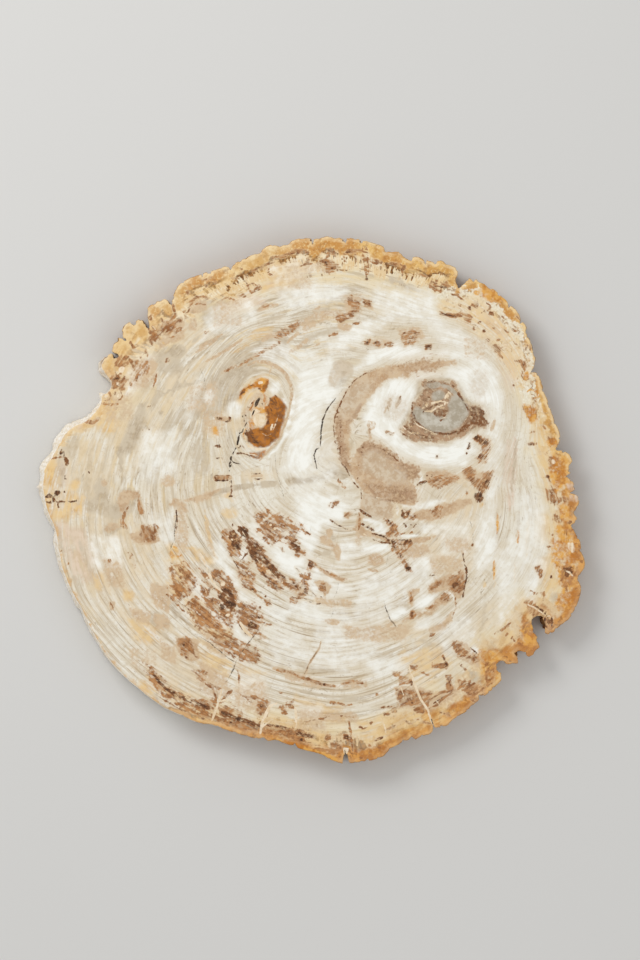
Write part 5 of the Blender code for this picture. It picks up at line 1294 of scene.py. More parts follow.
# Broad soft clouds where the stone is paler or darker than elsewhere
CLOUDS = {
    "core": [haze(0.5, 3, oval(394, 408, 11, 11)), haze(0.42, 2.5, oval(479, 384, 7, 11))],
    "taupe": [
        haze(0.9, 3, patch(190, 394, 214, 392, 216, 424, 208, 434, 192, 420)),
        haze(0.8, 3, patch(212, 300, 236, 292, 240, 312, 216, 322),
             patch(266, 340, 290, 332, 288, 350, 270, 358)),
    ],
    "white": [
        haze(0.55, 4, patch(318, 620, 346, 616, 376, 632, 372, 658, 340, 660, 316, 646),
             patch(146, 434, 176, 432, 174, 470, 150, 482, 142, 462)),
        haze(0.5, 4, patch(362, 576, 398, 570, 432, 566, 436, 584, 396, 600, 380, 622, 358, 616),
             patch(274, 640, 298, 636, 300, 658, 276, 660),
             patch(300, 446, 336, 444, 334, 468, 318, 492, 298, 490),
             patch(440, 622, 470, 618, 472, 644, 446, 652), patch(442, 528, 468, 526, 466, 550, 444, 552),
             patch(92, 538, 118, 540, 120, 566, 96, 566)),
        haze(0.4, 4, patch(154, 516, 176, 514, 178, 540, 156, 540)),
    ],
    "tan": [
        haze(0.6, 2.5, patch(132, 360, 152, 358, 156, 376, 146, 388, 130, 384)),
        haze(0.5, 3, patch(236, 688, 262, 684, 268, 700, 250, 710, 236, 704),
             patch(298, 712, 322, 712, 322, 728, 300, 730)),
        haze(0.55, 3, patch(200, 674, 226, 676, 230, 694, 214, 698, 200, 688)),
        haze(0.4, 3, patch(106, 398, 130, 396, 130, 418, 108, 420),
             patch(190, 388, 214, 384, 214, 398, 204, 412, 190, 410),
             patch(204, 412, 222, 412, 222, 432, 206, 432)),
        haze(0.35, 3, patch(214, 304, 240, 302, 240, 322, 216, 324)),
        haze(0.3, 3, patch(288, 268, 310, 266, 308, 286, 290, 286),
             patch(132, 650, 154, 652, 152, 672, 134, 668)),
        haze(0.25, 3, patch(466, 340, 490, 340, 490, 356, 468, 356)),
    ],
    "brown": [
        haze(0.5, 1.5, patch(134, 364, 146, 362, 148, 372, 138, 378),
             line(3, 204, 680, 212, 686, 222, 690)),
        haze(0.4, 1.5, line(3, 240, 694, 250, 698, 260, 698)),
    ],
    "taupe": [
        haze(0.8, 3, patch(190, 396, 214, 392, 218, 412, 204, 422, 190, 416),
             patch(262, 340, 290, 336, 288, 356, 266, 362)),
        haze(0.7, 3, patch(200, 302, 226, 300, 228, 320, 204, 326),
             patch(154, 350, 180, 348, 178, 372, 156, 372), patch(214, 384, 240, 382, 238, 408, 216, 410)),
    ],
    "ochre": [
        haze(0.6, 4, patch(260, 266, 290, 262, 310, 262, 290, 286, 262, 290),
             patch(540, 516, 562, 516, 562, 540, 542, 542)),
        haze(0.4, 3, patch(226, 290, 250, 288, 250, 310, 228, 312)),
    ],
    "gold": [haze(0.7, 3, patch(552, 540, 570, 540, 574, 562, 556, 566))],
}


def gathered(*regions):
    """The marks of every region in one list for each family."""
    families = {}
    for region in regions:
        for family, marks in region.items():
            families.setdefault(family, []).extend(marks)
    return families


MARKS = gathered(
    AMBER_KNOT, CURLED_BAND, AGATE_EYE, LEFT_LOBE, DARK_ARC, BELOW_THE_AGATE, UPPER_MIDDLE, UPPER_LEFT,
    RIGHT_SIDE, LOWER_LEFT, BOTTOM, CLOUDS,
)

# The stone's families of colour in the order in which they are laid over each other. Each has a lighter
# and a darker colour as screen values, how ragged and how soft its edges are in pixels, and how much of the
# stone below it covers where it is thinnest.
FAMILIES = {
    "sand": ((231, 212, 180), (218, 196, 160), 2.4, 2.4, 0.5),
    "pink": ((228, 206, 184), (212, 184, 158), 2.4, 2.0, 0.55),
    "taupe": ((208, 193, 168), (180, 161, 134), 2.4, 1.3, 0.6),
    "ochre": ((234, 200, 142), (216, 170, 100), 2.4, 2.4, 0.4),
    "white": ((250, 249, 241), (242, 239, 228), 2.4, 2.2, 0.85),
    "tan": ((214, 188, 154), (192, 156, 118), 2.4, 1.2, 0.7),
    "brown": ((184, 134, 88), (134, 85, 47), 3.4, 1.15, 0.45),
    "core": ((216, 200, 176), (200, 180, 152), 2.0, 2.2, 0.75),
    "slate": ((213, 208, 194), (182, 175, 158), 0.8, 0.9, 0.97),
    "gold": ((226, 168, 84), (196, 124, 44), 2.6, 1.5, 0.85),
    "rust": ((192, 138, 86), (148, 96, 54), 3.4, 1.2, 0.4),
    "amber": ((186, 116, 42), (134, 80, 28), 1.4, 1.3, 0.95),
    "umber": ((130, 84, 49), (80, 52, 33), 3.0, 0.9, 0.75),
    "pale": ((242, 224, 196), (230, 205, 168), 0.8, 0.5, 0.85),
    "crack": ((88, 66, 46), (46, 34, 24), 0.6, 0.6, 0.8),
}
# The families with sharp edges, beside which the points of the polished face lie close together
SHARP = ("tan", "brown", "core", "slate", "gold", "rust", "amber", "umber", "pale", "crack")
PLAIN = ("tan", "core", "slate", "gold", "amber")  # mottled families: the others follow the growth rings
SHARP_REACH = 1.2  # pixels either side of a sharp mark's edge within which the points are close

# The golden rind inside the rim: bearing in degrees, and its width in pixels
RIND_WIDTH = (
    (0, 16), (20, 14), (40, 15), (55, 18), (70, 25), (85, 27), (100, 27), (115, 24), (128, 22), (140, 23),
    (150, 19), (160, 8), (170, 2), (180, 1), (205, 0), (225, 0), (235, 1), (243, 10), (255, 17), (262, 20),
    (272, 21), (285, 22), (300, 24), (315, 26), (325, 23), (338, 17), (350, 16), (360, 16),
)
RIND_FLOOR = -24.0  # pixels past the rind at which its field stops falling
# How much of the bark is bleached to cream, by bearing, from 0 to 1
BLEACH = (
    (0, 0.15), (60, 0.1), (130, 0.1), (140, 0.3), (150, 0.6), (163, 0.8), (175, 0.95), (215, 0.95),
    (232, 0.85), (243, 0.4), (270, 0.2), (360, 0.15),
)
# The depth of the bark's fine hollows in millimetres, by bearing
BARK_ROUGHNESS = (
    (0, 0.8), (60, 0.7), (90, 0.55), (130, 0.7), (155, 0.6), (170, 0.3), (200, 0.2), (230, 0.25),
    (245, 0.5), (280, 0.6), (320, 0.8), (360, 0.8),
)
# How strong the rows of brown drips in the rind are, by bearing, from 0 to 1
FRINGE = (
    (0, 0.1), (30, 0.2), (52, 0.5), (62, 1), (112, 1), (126, 0.7), (145, 0.2), (165, 0), (230, 0),
    (240, 0.7), (262, 1), (285, 0.6), (305, 0.2), (360, 0.1),
)
# Where the stone between the rind and the cream is made of outlined cells, and their size in pixels
CELLS = [
    patch(438, 294, 446, 288, 460, 288, 478, 287, 494, 298, 508, 314, 522, 332, 531, 352, 535, 378, 538, 400,
          540, 428, 532, 430, 524, 405, 516, 385, 508, 370, 500, 356, 488, 342, 474, 330, 460, 318, 448, 312,
          438, 306),
]
CELL = 8.0
# Round the agate the stone is mottled, and its marks don't follow the growth rings
CURL = [
    patch(330, 380, 350, 366, 400, 355, 470, 355, 478, 382, 492, 408, 490, 428, 470, 440, 455, 452, 440, 468,
          424, 470, 425, 508, 394, 510, 360, 506, 342, 476, 328, 450),
]
# The browns there, lighter and darker
CURL_BROWNS = ((184, 149, 116), (142, 108, 80))
# The rind's gold, lighter and darker: pale at the upper left, and a richer orange in the lower half
PALE_GOLD = ((238, 212, 164), (216, 172, 108))
GOLD = ((232, 188, 112), (204, 149, 72))
RICH_GOLD = ((220, 156, 72), (182, 114, 42))
SEAM_GAP = 4.8  # pixels from one fine growth line to the next
# Knots with growth rings of their own: x and y in pixels, how far these reach across and down, and where
# across the slice's own rings the knot's middle counts as lying
KNOTS = ((262, 418, 32, 48, 40), (441, 409, 46, 44, 20))
KNOT_FADE = 2.3  # at this many times its reach, a knot's rings have given way to the slice's own
RING_CORE = 52.0  # within this many pixels of the pith the rings fade out
RING_WANDER = (1.6, 60.0, 21)  # how far the rings wander and in how wide waves, in pixels, and the seed

MM = 0.001
WELD = 1e-6  # points this close are one
COLUMN_SLACK = 0.1  # the share by which a column of the top row stays back towards the row below
COLUMN_DOUBLINGS = 2  # how often a column is put between each two of the wall's
CORNER_TURN = 50.0  # degrees of turn in the rim that make a column a corner
TALLEST_FACE = 0.0025  # metres
DIRECTION_SPAN = 4  # columns to either side that give the rim's direction
DIRECTION_SMOOTHINGS = 3
# The bark's noises: size in pixels, seed and octaves. Pocks and nicks also have the noise at which they
# begin and that at which they are full.
RIDGE_NOISE = (7.0, 31, 3)
FINE_RIDGE_NOISE = (4.0, 37, 2)
RIDGE_SHARES = (0.6, 0.4)
RIDGE_SHIFT = 40.0  # pixels that keep the ridges apart from the other noises
POCK_NOISE, POCK_START, POCK_FULL = (5.0, 41, 2), 0.25, 0.7
NICK_NOISE, NICK_START, NICK_FULL = (3.2, 61, 1), 0.3, 0.65
# How these lean, in pixels to the right and down the photograph for each pixel of height
RIDGE_LEAN = (0.0, 0.12)
FINE_RIDGE_LEAN = (-0.3, 0.35)
POCK_LEAN = (0.8, -0.7)
RIDGE_CREST = 0.45  # the ridges' noise from which on the bark stands out fully
RIDGE_DEPTH, POCK_DEPTH, NICK_DEPTH = 0.8, 0.5, 0.9  # in shares of the bark's roughness
CREST_HEIGHT = 0.25  # the share of it by which the bark's crests stand out from the solid
RELIEF_GROWS = (-2.5, 3.0)  # pixels below the polished face between which the relief comes in
HEIGHT_DIGITS = 5  # the solid's vertices whose heights agree to so many digits of a metre form one row
RIM_CLEARANCE = 0.45  # how near the rim a point of the polished face may lie, in steps
UNDERSIDE_CLEARANCE = UNDERSIDE_STEP / 3  # and a point of the underside, in pixels
RELIEF_WAVER = 0.5  # how strongly the edges of what is sunk waver
RELIEF_START = -0.6  # pixels, where a sunk mark's slope begins
# The underside shows the same marks, each drifted by up to so many pixels in waves so wide, with two seeds
UNDERSIDE_DRIFT, UNDERSIDE_WAVE, UNDERSIDE_SEEDS = 4.0, 30.0, (51, 52)

# The map for the baked finish, in shares of its side
MAP_GAP = 0.008
MAP_TOP_SIZE = 0.70  # the polished face
MAP_UNDER_SIZE = 0.27  # the underside
MAP_STRIPS = 4  # how many strips the wall is cut into
MAP_STRIP_FOOT = 0.715  # where the lowest strip begins
MAP_STRIP_HEIGHT = 0.06

DEEP_PIT = [oval(567.9, 573.7, 7.2, 5.0, 38)]
SHALLOW_PIT = [oval(548.4, 622.7, 5.7, 4.0, -6)]
HOLES = [oval(114.7, 356.3, 2.2, 1.9), oval(376, 246.5, 1.6, 1.2)]
# What sinks below the polished face: how deep in millimetres, over how many pixels, and where
RELIEF = [
    (0.3, 0.8, MARKS["crack"]), (1.2, 1.0, HOLES),
    (2.4, 5.0, DEEP_PIT), (1.2, 4.0, SHALLOW_PIT),
]

# Camera, lights and floor
LENS = 350.0  # millimetres
SENSOR = 36.0  # millimetres, the larger side of the camera's picture
LENS_HEIGHT = LENS / SENSOR * PHOTO_HEIGHT * PIXEL
SKY = 0.62  # how bright the white sky is
# Each light: where it stands and how wide it is in metres, and its watts
LIGHTS = {"window": ((-0.75, 0.85, 1.15), 0.7, 10.0), "fill": ((0.9, -0.5, 1.3), 1.2, 3.0)}
FLOOR_SIZE = 6.0  # metres
FLOOR_GAP = 0.0003  # metres from the floor up to the slice
FLOOR_COLOUR = (214, 213, 210)
FLOOR_ROUGHNESS = 0.9


# Shape


def level_loops(shape):
    """The rows of the rim wall from the base up: the closed loops of vertices that share a height."""
    by_height = {}
    for vert in shape.verts:
        by_height.setdefault(round(vert.co.z, HEIGHT_DIGITS), set()).add(vert)
    most = max(len(verts) for verts in by_height.values())
    loops = []
    for _, level in sorted((height, verts) for height, verts in by_height.items() if len(verts) > most / 2):
        loops.append(longest_loop(level))
    return loops


def longest_loop(level):
    """The longest closed chain of level edges on the wall, anticlockwise seen from above."""
    follows = {}
    for vert in level:
        for edge in vert.link_edges:
            other = edge.other_vert(vert)
            on_wall = any(abs(face.normal.z) < PLANE_NORMAL for face in edge.link_faces)
            if other in level and on_wall:
                follows.setdefault(vert, []).append(other)
    loops, left = [], set(follows)
    while left:
        start = left.pop()
        chain, at, before = [start], follows[start][0], start
        while at is not start:
            chain.append(at)
            left.discard(at)
            ahead = [other for other in follows[at] if other is not before]
            before, at = at, ahead[0]
        loops.append(chain)
    chain = np.array([vert.co for vert in max(loops, key=len)])
    x, y = chain[:, 0], chain[:, 1]
    turning = np.sum(x * np.roll(y, -1) - np.roll(x, -1) * y)
    return chain if turning > 0 else chain[::-1]


def beside(loop, row):
    """For each column of a row, the nearest place on the loop above, a little apart from the next one's."""
    start, way = loop[:, :2], (np.roll(loop, -1, axis=0) - loop)[:, :2]
    gap = row[:, None, :2] - start[None]
    share = np.clip((gap * way).sum(2) / (way * way).sum(1), 0.0, 1.0)
    places = start[None] + share[..., None] * way[None]
    best = np.argmin(((places - row[:, None, :2]) ** 2).sum(2), axis=1)
    found = places[np.arange(len(row)), best]
    found = found + COLUMN_SLACK * (row[:, :2] - found)
    return np.column_stack([found, np.full(len(row), loop[0, 2])])


def wall_rows():
    """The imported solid's wall as rows by columns by (x, y, z), with each column upright."""
    shape = bmesh.new()
    shape.from_mesh(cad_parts["slab"].data)
    bmesh.ops.remove_doubles(shape, verts=shape.verts, dist=WELD)
    bmesh.ops.recalc_face_normals(shape, faces=shape.faces)
    *rows, top = level_loops(shape)
    shape.free()
    rows[-1] = np.roll(rows[-1], -int(np.argmax(rows[-1][:, 0])), axis=0)
    for k in range(len(rows) - 1, 0, -1):
        above, below = rows[k][:, :2], rows[k - 1][:, :2]
        gaps = [np.hypot(*(np.roll(below, shift, axis=0) - above).T).sum() for shift in range(len(below))]
        rows[k - 1] = np.roll(rows[k - 1], int(np.argmin(gaps)), axis=0)
    return np.array([*rows, beside(top, rows[-1])])


def corners_of(row):
    """Which columns are corners: a cleft, a nick or a broken tip."""
    ahead = np.roll(row, -1, axis=0) - row
    behind = row - np.roll(row, 1, axis=0)
    cross = ahead[:, 1] * behind[:, 0] - ahead[:, 0] * behind[:, 1]
    along = (ahead[:, :2] * behind[:, :2]).sum(1)
    return np.abs(np.degrees(np.arctan2(cross, along))) > CORNER_TURN


def twice_the_columns(rows, corner):
    """A column between each two, on the smooth curve through their neighbours, or straight from a corner."""
    before, after = np.roll(rows, 1, axis=1), np.roll(rows, -1, axis=1)
    beyond = np.roll(rows, -2, axis=1)
    before = np.where(corner[None, :, None], 2 * rows - after, before)
    beyond = np.where(np.roll(corner, -1)[None, :, None], 2 * after - rows, beyond)
    middle = (9 * (rows + after) - before - beyond) / 16
    dense = np.stack([rows, middle], axis=2).reshape(rows.shape[0], -1, 3)
    return dense, np.stack([corner, np.zeros_like(corner)], axis=1).ravel()


def more_rows(rows):
    """A row midway between each two that are further apart than the tallest face."""
    taller = [rows[0]]
    for below, above in zip(rows, rows[1:]):
        if above[0, 2] - below[0, 2] > TALLEST_FACE:
            taller.append((below + above) / 2)
        taller.append(above)
    return np.array(taller)


def outward(rows):
    """The way out of the slice at each place of the wall, level and smoothed along the rim."""
    along = np.roll(rows, -DIRECTION_SPAN, axis=1) - np.roll(rows, DIRECTION_SPAN, axis=1)
    out = of_length_one(np.stack([along[..., 1], -along[..., 0]], axis=-1))
    for _ in range(DIRECTION_SMOOTHINGS):
        out = of_length_one(out + np.roll(out, 1, axis=1) + np.roll(out, -1, axis=1))
    return out


def of_length_one(ways):
    """The same level directions, each made as long as the next."""
    return ways / np.maximum(np.hypot(ways[..., 0], ways[..., 1])[..., None], TINY)


def bark(rows):
    """The wall with its fine ridges and hollows, and how deep each place lies from 0 to 1."""
    x, y = to_pixels(rows[..., 0].ravel(), rows[..., 1].ravel())
    z = rows[..., 2].ravel() / PIXEL
    depth = between(BARK_ROUGHNESS, bearing(x, y))

    def leaning(lean, noise, shift=0.0):
        return mottle(x + shift + z * lean[0], y + z * lean[1], *noise)

    broad, fine = leaning(RIDGE_LEAN, RIDGE_NOISE, RIDGE_SHIFT), leaning(FINE_RIDGE_LEAN, FINE_RIDGE_NOISE)
    ridges = broad * RIDGE_SHARES[0] + fine * RIDGE_SHARES[1]
    pocks = smooth_step(leaning(POCK_LEAN, POCK_NOISE), POCK_START, POCK_FULL)
    nicks = smooth_step(mottle(x, y, *NICK_NOISE), NICK_START, NICK_FULL)
    fall = np.clip(RIDGE_CREST - ridges, 0.0, 1.0) * RIDGE_DEPTH + pocks * POCK_DEPTH
    from_top = smooth_step((TOP - rows[..., 2].ravel()) / PIXEL, *RELIEF_GROWS)
    moved = depth * ((fall - CREST_HEIGHT) * from_top + nicks * NICK_DEPTH) * MM
    moved = moved.reshape(rows.shape[:2])
    carved = rows.copy()
    carved[..., :2] -= outward(rows) * moved[..., None]
    return carved, np.clip(fall, 0.0, 1.0).reshape(rows.shape[:2])


def to_pixels(x, y):
    return MIDDLE[0] + x / PIXEL, MIDDLE[1] - y / PIXEL


def to_metres(x, y):
    return (x - MIDDLE[0]) * PIXEL, (MIDDLE[1] - y) * PIXEL


def bearing(x, y):
    """Degrees anticlockwise from the right, seen from the middle of the slice."""
    return np.degrees(np.arctan2(MIDDLE[1] - y, x - MIDDLE[0])) % 360.0


def between(table, at):
    """A table's values at these bearings, straight from row to row."""
    places, values = np.array(table, float).T
    return np.interp(at, places, values)


def lattice(loop, step):
    """Points of a triangular lattice inside a loop of pixels: x, y, and their column and row in it."""
    found = []
    (left, top), (_, bottom) = loop.min(0), loop.max(0)
    rise = step * math.sqrt(3) / 2
    start_x, start_y = loop[:, 0], loop[:, 1]
    end_x, end_y = np.roll(start_x, -1), np.roll(start_y, -1)
    for j in range(int((bottom - top) / rise)):
        y = top + (j + 0.5) * rise
        cut = (start_y > y) != (end_y > y)
        share = (y - start_y[cut]) / (end_y[cut] - start_y[cut])
        edges = np.sort(start_x[cut] + share * (end_x[cut] - start_x[cut]))
        for enter, leave in zip(edges[::2], edges[1::2]):
            i = np.arange(math.ceil((enter - left) / step), math.floor((leave - left) / step) + 1)
            x = left + (i + 0.5 * (j % 2)) * step
            found.append(np.stack([x, np.full(len(i), y), i, np.full(len(i), j)]))
    return np.concatenate(found, axis=1)


def nearest(points, x, y):
    """The distance from each place to the nearest of the points, in pixels."""
    tree = kdtree.KDTree(len(points))
    for k, (point_x, point_y) in enumerate(points):
        tree.insert((point_x, point_y, 0.0), k)
    tree.balance()
    return np.array([tree.find((a, b, 0.0))[2] for a, b in zip(x, y)])


def filled(loop, inner):
    """Faces that fill a loop of pixels through inner points, which are numbered after the loop's own."""
    places = [Vector((x, -y)) for x, y in np.concatenate([loop, inner])]
    ring = list(range(len(loop)))
    _, _, faces, origins, _, _ = delaunay_2d_cdt(places, [], [ring], 1, WELD)
    number = [origin[0] if origin else -1 for origin in origins]
    return [[number[k] for k in face] for face in faces if all(number[k] >= 0 for k in face)]


def polished_points(loop):
    """Where the polished face has its points: close beside sharp marks and the rim, else further apart."""
    x, y, i, j = lattice(loop, FINE_STEP)
    rim_gap = nearest(loop, x, y)
    clear = rim_gap > FINE_STEP * RIM_CLEARANCE
    x, y, i, j, rim_gap = x[clear], y[clear], i[clear], j[clear], rim_gap[clear]
    coarse = (j % COARSE_EVERY == 0) & ((i - (j // COARSE_EVERY) % 2) % COARSE_EVERY == 0)
    sharp = np.full(len(x), False)
    for family in SHARP:
        sharp |= np.abs(field_of(MARKS[family], x, y)) < SHARP_REACH
    for _, slope, marks in RELIEF:
        inside = field_of(marks, x, y, RELIEF_WAVER)
        sharp |= (inside > -SHARP_REACH) & (inside < slope + FINE_STEP)
    sharp |= rim_gap < 2 * FINE_STEP
    kept = coarse & (rim_gap > FINE_STEP) | sharp
    return np.stack([x[kept], y[kept]], axis=1)


def slice_outline(loop):
    """The rings' outline: how far the rim is from the pith at each degree, with its lobes smoothed away."""
    x, y = loop[:, 0] - PITH[0], PITH[1] - loop[:, 1]
    turn, reach = np.degrees(np.arctan2(y, x)) % 360.0, np.hypot(x, y)
    order = np.argsort(turn)
    even = np.interp(np.arange(360), turn[order], reach[order], period=360)
    waves = np.fft.rfft(even)
    waves[RIM_HARMONICS:] = 0
    return np.fft.irfft(waves, 360)


def ring_place(x, y, outline):
    """Where each place lies across the growth rings, in pixels from the pith."""
    away_x, away_y = x - PITH[0], PITH[1] - y
    turn = np.degrees(np.arctan2(away_y, away_x)) % 360.0
    rim = np.interp(turn, np.arange(360), outline, period=360)
    ring = np.sqrt(away_x ** 2 + away_y ** 2 + RING_CORE ** 2) / rim * outline.mean()
    for knot_x, knot_y, across, down, start in KNOTS:
        apart = np.hypot((x - knot_x) * down / across, y - knot_y)
        inside = 1.0 - smooth_step(apart, down, KNOT_FADE * down)
        ring = ring + (np.minimum(start + apart, ring) - ring) * inside
    far, wide, seed = RING_WANDER
    return ring + far * mottle(x, y, wide, seed)


def triangles_of(face):
    """A face as a fan of triangles."""
    return [(face[0], face[k], face[k + 1]) for k in range(1, len(face) - 1)]


def wall_faces(levels, columns):
    """The wall's four-sided faces, and each one's level and column."""
    places = [(level, column) for level in range(levels - 1) for column in range(columns)]
    faces = []
    for level, column in places:
        after = (column + 1) % columns
        below, above = level * columns, (level + 1) * columns
        faces.append((below + column, below + after, above + after, above + column))
    return faces, places


def flat_faces(loop, inner, first_of_loop, first_of_inner):
    """Triangles that fill a loop of pixels and face up, by the numbers that the stone's points have."""
    faces, count = upward(filled(loop, inner), np.concatenate([loop, inner])), len(loop)
    return [[first_of_loop + k if k < count else first_of_inner + k - count for k in face] for face in faces]


def slab_points_and_faces():
    """The whole stone: its points and faces, each wall face's level and column, the wall's rows, the rim as
    a loop of pixels, and for each point how deep in the bark it lies and whether it is on the wall.
    """
    rows = wall_rows()
    corner = corners_of(rows[-1])
    for _ in range(COLUMN_DOUBLINGS):
        rows, corner = twice_the_columns(rows, corner)
    rows, hollow = bark(more_rows(rows))
    levels, columns = rows.shape[:2]

    def loop_in_pixels(row):
        return np.stack(to_pixels(row[:, 0], row[:, 1]), axis=1)

    top_loop, base_loop = loop_in_pixels(rows[-1]), loop_in_pixels(rows[0])
    top_inner = polished_points(top_loop)
    x, y, _, _ = lattice(base_loop, UNDERSIDE_STEP)
    clear = nearest(base_loop, x, y) > UNDERSIDE_CLEARANCE
    base_inner = np.stack([x[clear], y[clear]], axis=1)

    wall = rows.reshape(-1, 3)
    first_top = len(wall)
    first_base = first_top + len(top_inner)
    x, y = to_metres(top_inner[:, 0], top_inner[:, 1])
    top = np.stack([x, y, TOP - sunk(top_inner[:, 0], top_inner[:, 1])], axis=1)
    x, y = to_metres(base_inner[:, 0], base_inner[:, 1])
    base = np.stack([x, y, np.full(len(x), low.z)], axis=1)

    last_row = (levels - 1) * columns
    faces, places = wall_faces(levels, columns)
    faces += flat_faces(top_loop, top_inner, last_row, first_top)
    faces += [face[::-1] for face in flat_faces(base_loop, base_inner, 0, first_base)]
    points = np.concatenate([wall, top, base])
    hollows = np.concatenate([hollow.ravel(), np.zeros(len(top) + len(base))])
    on_wall = np.zeros(len(points))
    on_wall[columns:last_row] = 1.0
    return points, faces, places, rows, top_loop, hollows, on_wall


def upward(faces, pixels):
    """The same faces, each turned so that it faces up. A pixel's y runs down the photograph."""
    x, y = pixels[:, 0], -pixels[:, 1]
    turned = []
    for a, b, c in (tri for face in faces for tri in triangles_of(face)):
        area = (x[b] - x[a]) * (y[c] - y[a]) - (x[c] - x[a]) * (y[b] - y[a])
        turned.append((a, b, c) if area > 0 else (a, c, b))
    return turned


def sunk(x, y):
    """How far the polished face is sunk below its plane by its cracks, slits and pits, in metres."""
    depth = np.zeros(len(x))
    for deep, slope, marks in RELIEF:
        inside = field_of(marks, x, y, RELIEF_WAVER)
        depth = np.maximum(depth, deep * MM * smooth_step(inside, RELIEF_START, slope))
    return depth


def wall_strips(rows, places):
    """The wall's places on the baked map: strips of the rim, one above the other."""
    lengths = np.hypot(*(np.roll(rows[-1], -1, axis=0) - rows[-1])[:, :2].T)
    along = np.concatenate([[0.0], np.cumsum(lengths)])
    columns = rows.shape[1]
    heights = rows[:, 0, 2] / TOP
    per_strip = math.ceil(columns / MAP_STRIPS)
    strip_length = max(
        along[min(columns, (k + 1) * per_strip)] - along[k * per_strip] for k in range(MAP_STRIPS)
    )
    corners = []
    for level, column in places:
        strip = column // per_strip
        left, right = along[column], along[column + 1]
        start = along[strip * per_strip]
        floor = MAP_STRIP_FOOT + strip * (MAP_STRIP_HEIGHT + MAP_GAP)
        for at, height in ((left, level), (right, level), (right, level + 1), (left, level + 1)):
            u = MAP_GAP + (at - start) / strip_length * (1 - 2 * MAP_GAP)
            corners.append((u, floor + heights[height] * MAP_STRIP_HEIGHT))
    return corners


def add_bake_map(mesh, rows, places):
    """A map for the baked finish: the polished face large, the underside small beside it, and above them
    the wall in strips.
    """
    layer = mesh.uv_layers.new(name="OFBake")
    uv = np.zeros((len(mesh.loops), 2))
    wall = np.array(wall_strips(rows, places))
    uv[:len(wall)] = wall
    verts = np.empty(len(mesh.loops), np.int32)
    mesh.loops.foreach_get("vertex_index", verts)
    points = np.empty(len(mesh.vertices) * 3)
    mesh.vertices.foreach_get("co", points)
    points = points.reshape(-1, 3)[verts[len(wall):]]
    place = (points[:, :2] - np.array(low)[:2]) / (high.x - low.x)
    normals = np.empty(len(mesh.polygons) * 3)
    mesh.polygons.foreach_get("normal", normals)
    face_up = normals.reshape(-1, 3)[len(places):, 2] > 0
    up = np.repeat(face_up, 3)
    face_place = MAP_GAP + place * MAP_TOP_SIZE
    under_place = np.array([2 * MAP_GAP + MAP_TOP_SIZE, MAP_GAP]) + place * MAP_UNDER_SIZE
    uv[len(wall):] = np.where(up[:, None], face_place, under_place)
    layer.data.foreach_set("uv", uv.ravel())


def add_fields(mesh, points, rim_loop, hollows, on_wall):
    """Every field that the material reads, as attributes of the points. Returns their names by threes."""
    x, y = to_pixels(points[:, 0], points[:, 1])
    below = (TOP - points[:, 2]) / TOP
    x = x + UNDERSIDE_DRIFT * below * mottle(x, y, UNDERSIDE_WAVE, UNDERSIDE_SEEDS[0])
    y = y + UNDERSIDE_DRIFT * below * mottle(x, y, UNDERSIDE_WAVE, UNDERSIDE_SEEDS[1])
    rim_gap = nearest(rim_loop, x, y)
    turn = bearing(x, y)
    rind = between(RIND_WIDTH, turn) - rim_gap
    values = {
        "ring": ring_place(x, y, slice_outline(rim_loop)), "rim": rim_gap, "wall": on_wall,
        "hollow": hollows, "rind": np.maximum(rind, RIND_FLOOR), "bleach": between(BLEACH, turn),
        "fringe": between(FRINGE, turn), "cells": field_of(CELLS, x, y), "curl": field_of(CURL, x, y),
    }
    for family in FAMILIES:
        values[family] = field_of(MARKS[family], x, y)
    names = [*values]
    trios = [names[first:first + 3] for first in range(0, len(names), 3)]
    for trio in trios:
        attribute = mesh.attributes.new("_".join(trio), "FLOAT_VECTOR", "POINT")
        columns = [values[name] for name in trio] + [np.zeros(len(points))] * (3 - len(trio))
        attribute.data.foreach_set("vector", np.stack(columns, axis=1).astype(np.float32).ravel())
    return trios


def build_stone():
    """The one visible piece, and the names of its fields by threes."""
    points, faces, places, rows, top_loop, hollows, on_wall = slab_points_and_faces()
    mesh = bpy.data.meshes.new("stone")
    mesh.from_pydata(points.tolist(), [], faces)
    mesh.update()
    mesh.shade_smooth()
    add_bake_map(mesh, rows, places)
    trios = add_fields(mesh, points, top_loop, hollows, on_wall)
    stone = bpy.data.objects.new("stone", mesh)
    bpy.context.scene.collection.objects.link(stone)
    return stone, trios


# Finish

# The stone's colours as screen values from 0 to 255. Two together are a darker and a lighter one.
CREAM = (235, 229, 213)
DEEP_CREAM = (225, 213, 190)
BAND_BEIGE = (211, 195, 167)
WIDE_BEIGE = (214, 197, 168)
STROKE_BEIGE = (202, 184, 154)
STROKE_WHITE = (243, 239, 228)
RING_BROWN = (180, 158, 126)
SEAM_BROWN = (182, 158, 124)
SEAM_WHITE = (247, 244, 235)
STREAK_TAUPE = (184, 164, 134)
STREAK_SAND = (230, 206, 160)
STREAK_GREY = (196, 180, 154)
HAIR_BROWN = (156, 132, 102)
LINE_WHITE = (246, 243, 234)
DASH_BROWN = (150, 124, 90)
RAY_BEIGE = (198, 180, 150)
GRAIN_BEIGE = (206, 188, 156)
SPECK_BEIGE = (190, 168, 136)

GLOW = (236, 216, 174)
ORANGE_BLOOM = (200, 134, 58)
GOLD_SPECK = (168, 110, 52)
GLINT = (244, 220, 172)
BLOT = (148, 90, 40)
BLEACHED_GOLD = (234, 205, 156)
SANDS = ((232, 204, 158), (243, 228, 196))
GREYER_SAND = (218, 188, 146)
SAND_SPECK = (188, 146, 96)
FIRST_DRIPS = ((112, 72, 34), (166, 116, 62))
SECOND_DRIPS = ((130, 90, 54), (178, 136, 92))
RIM_LINE = (243, 216, 168)

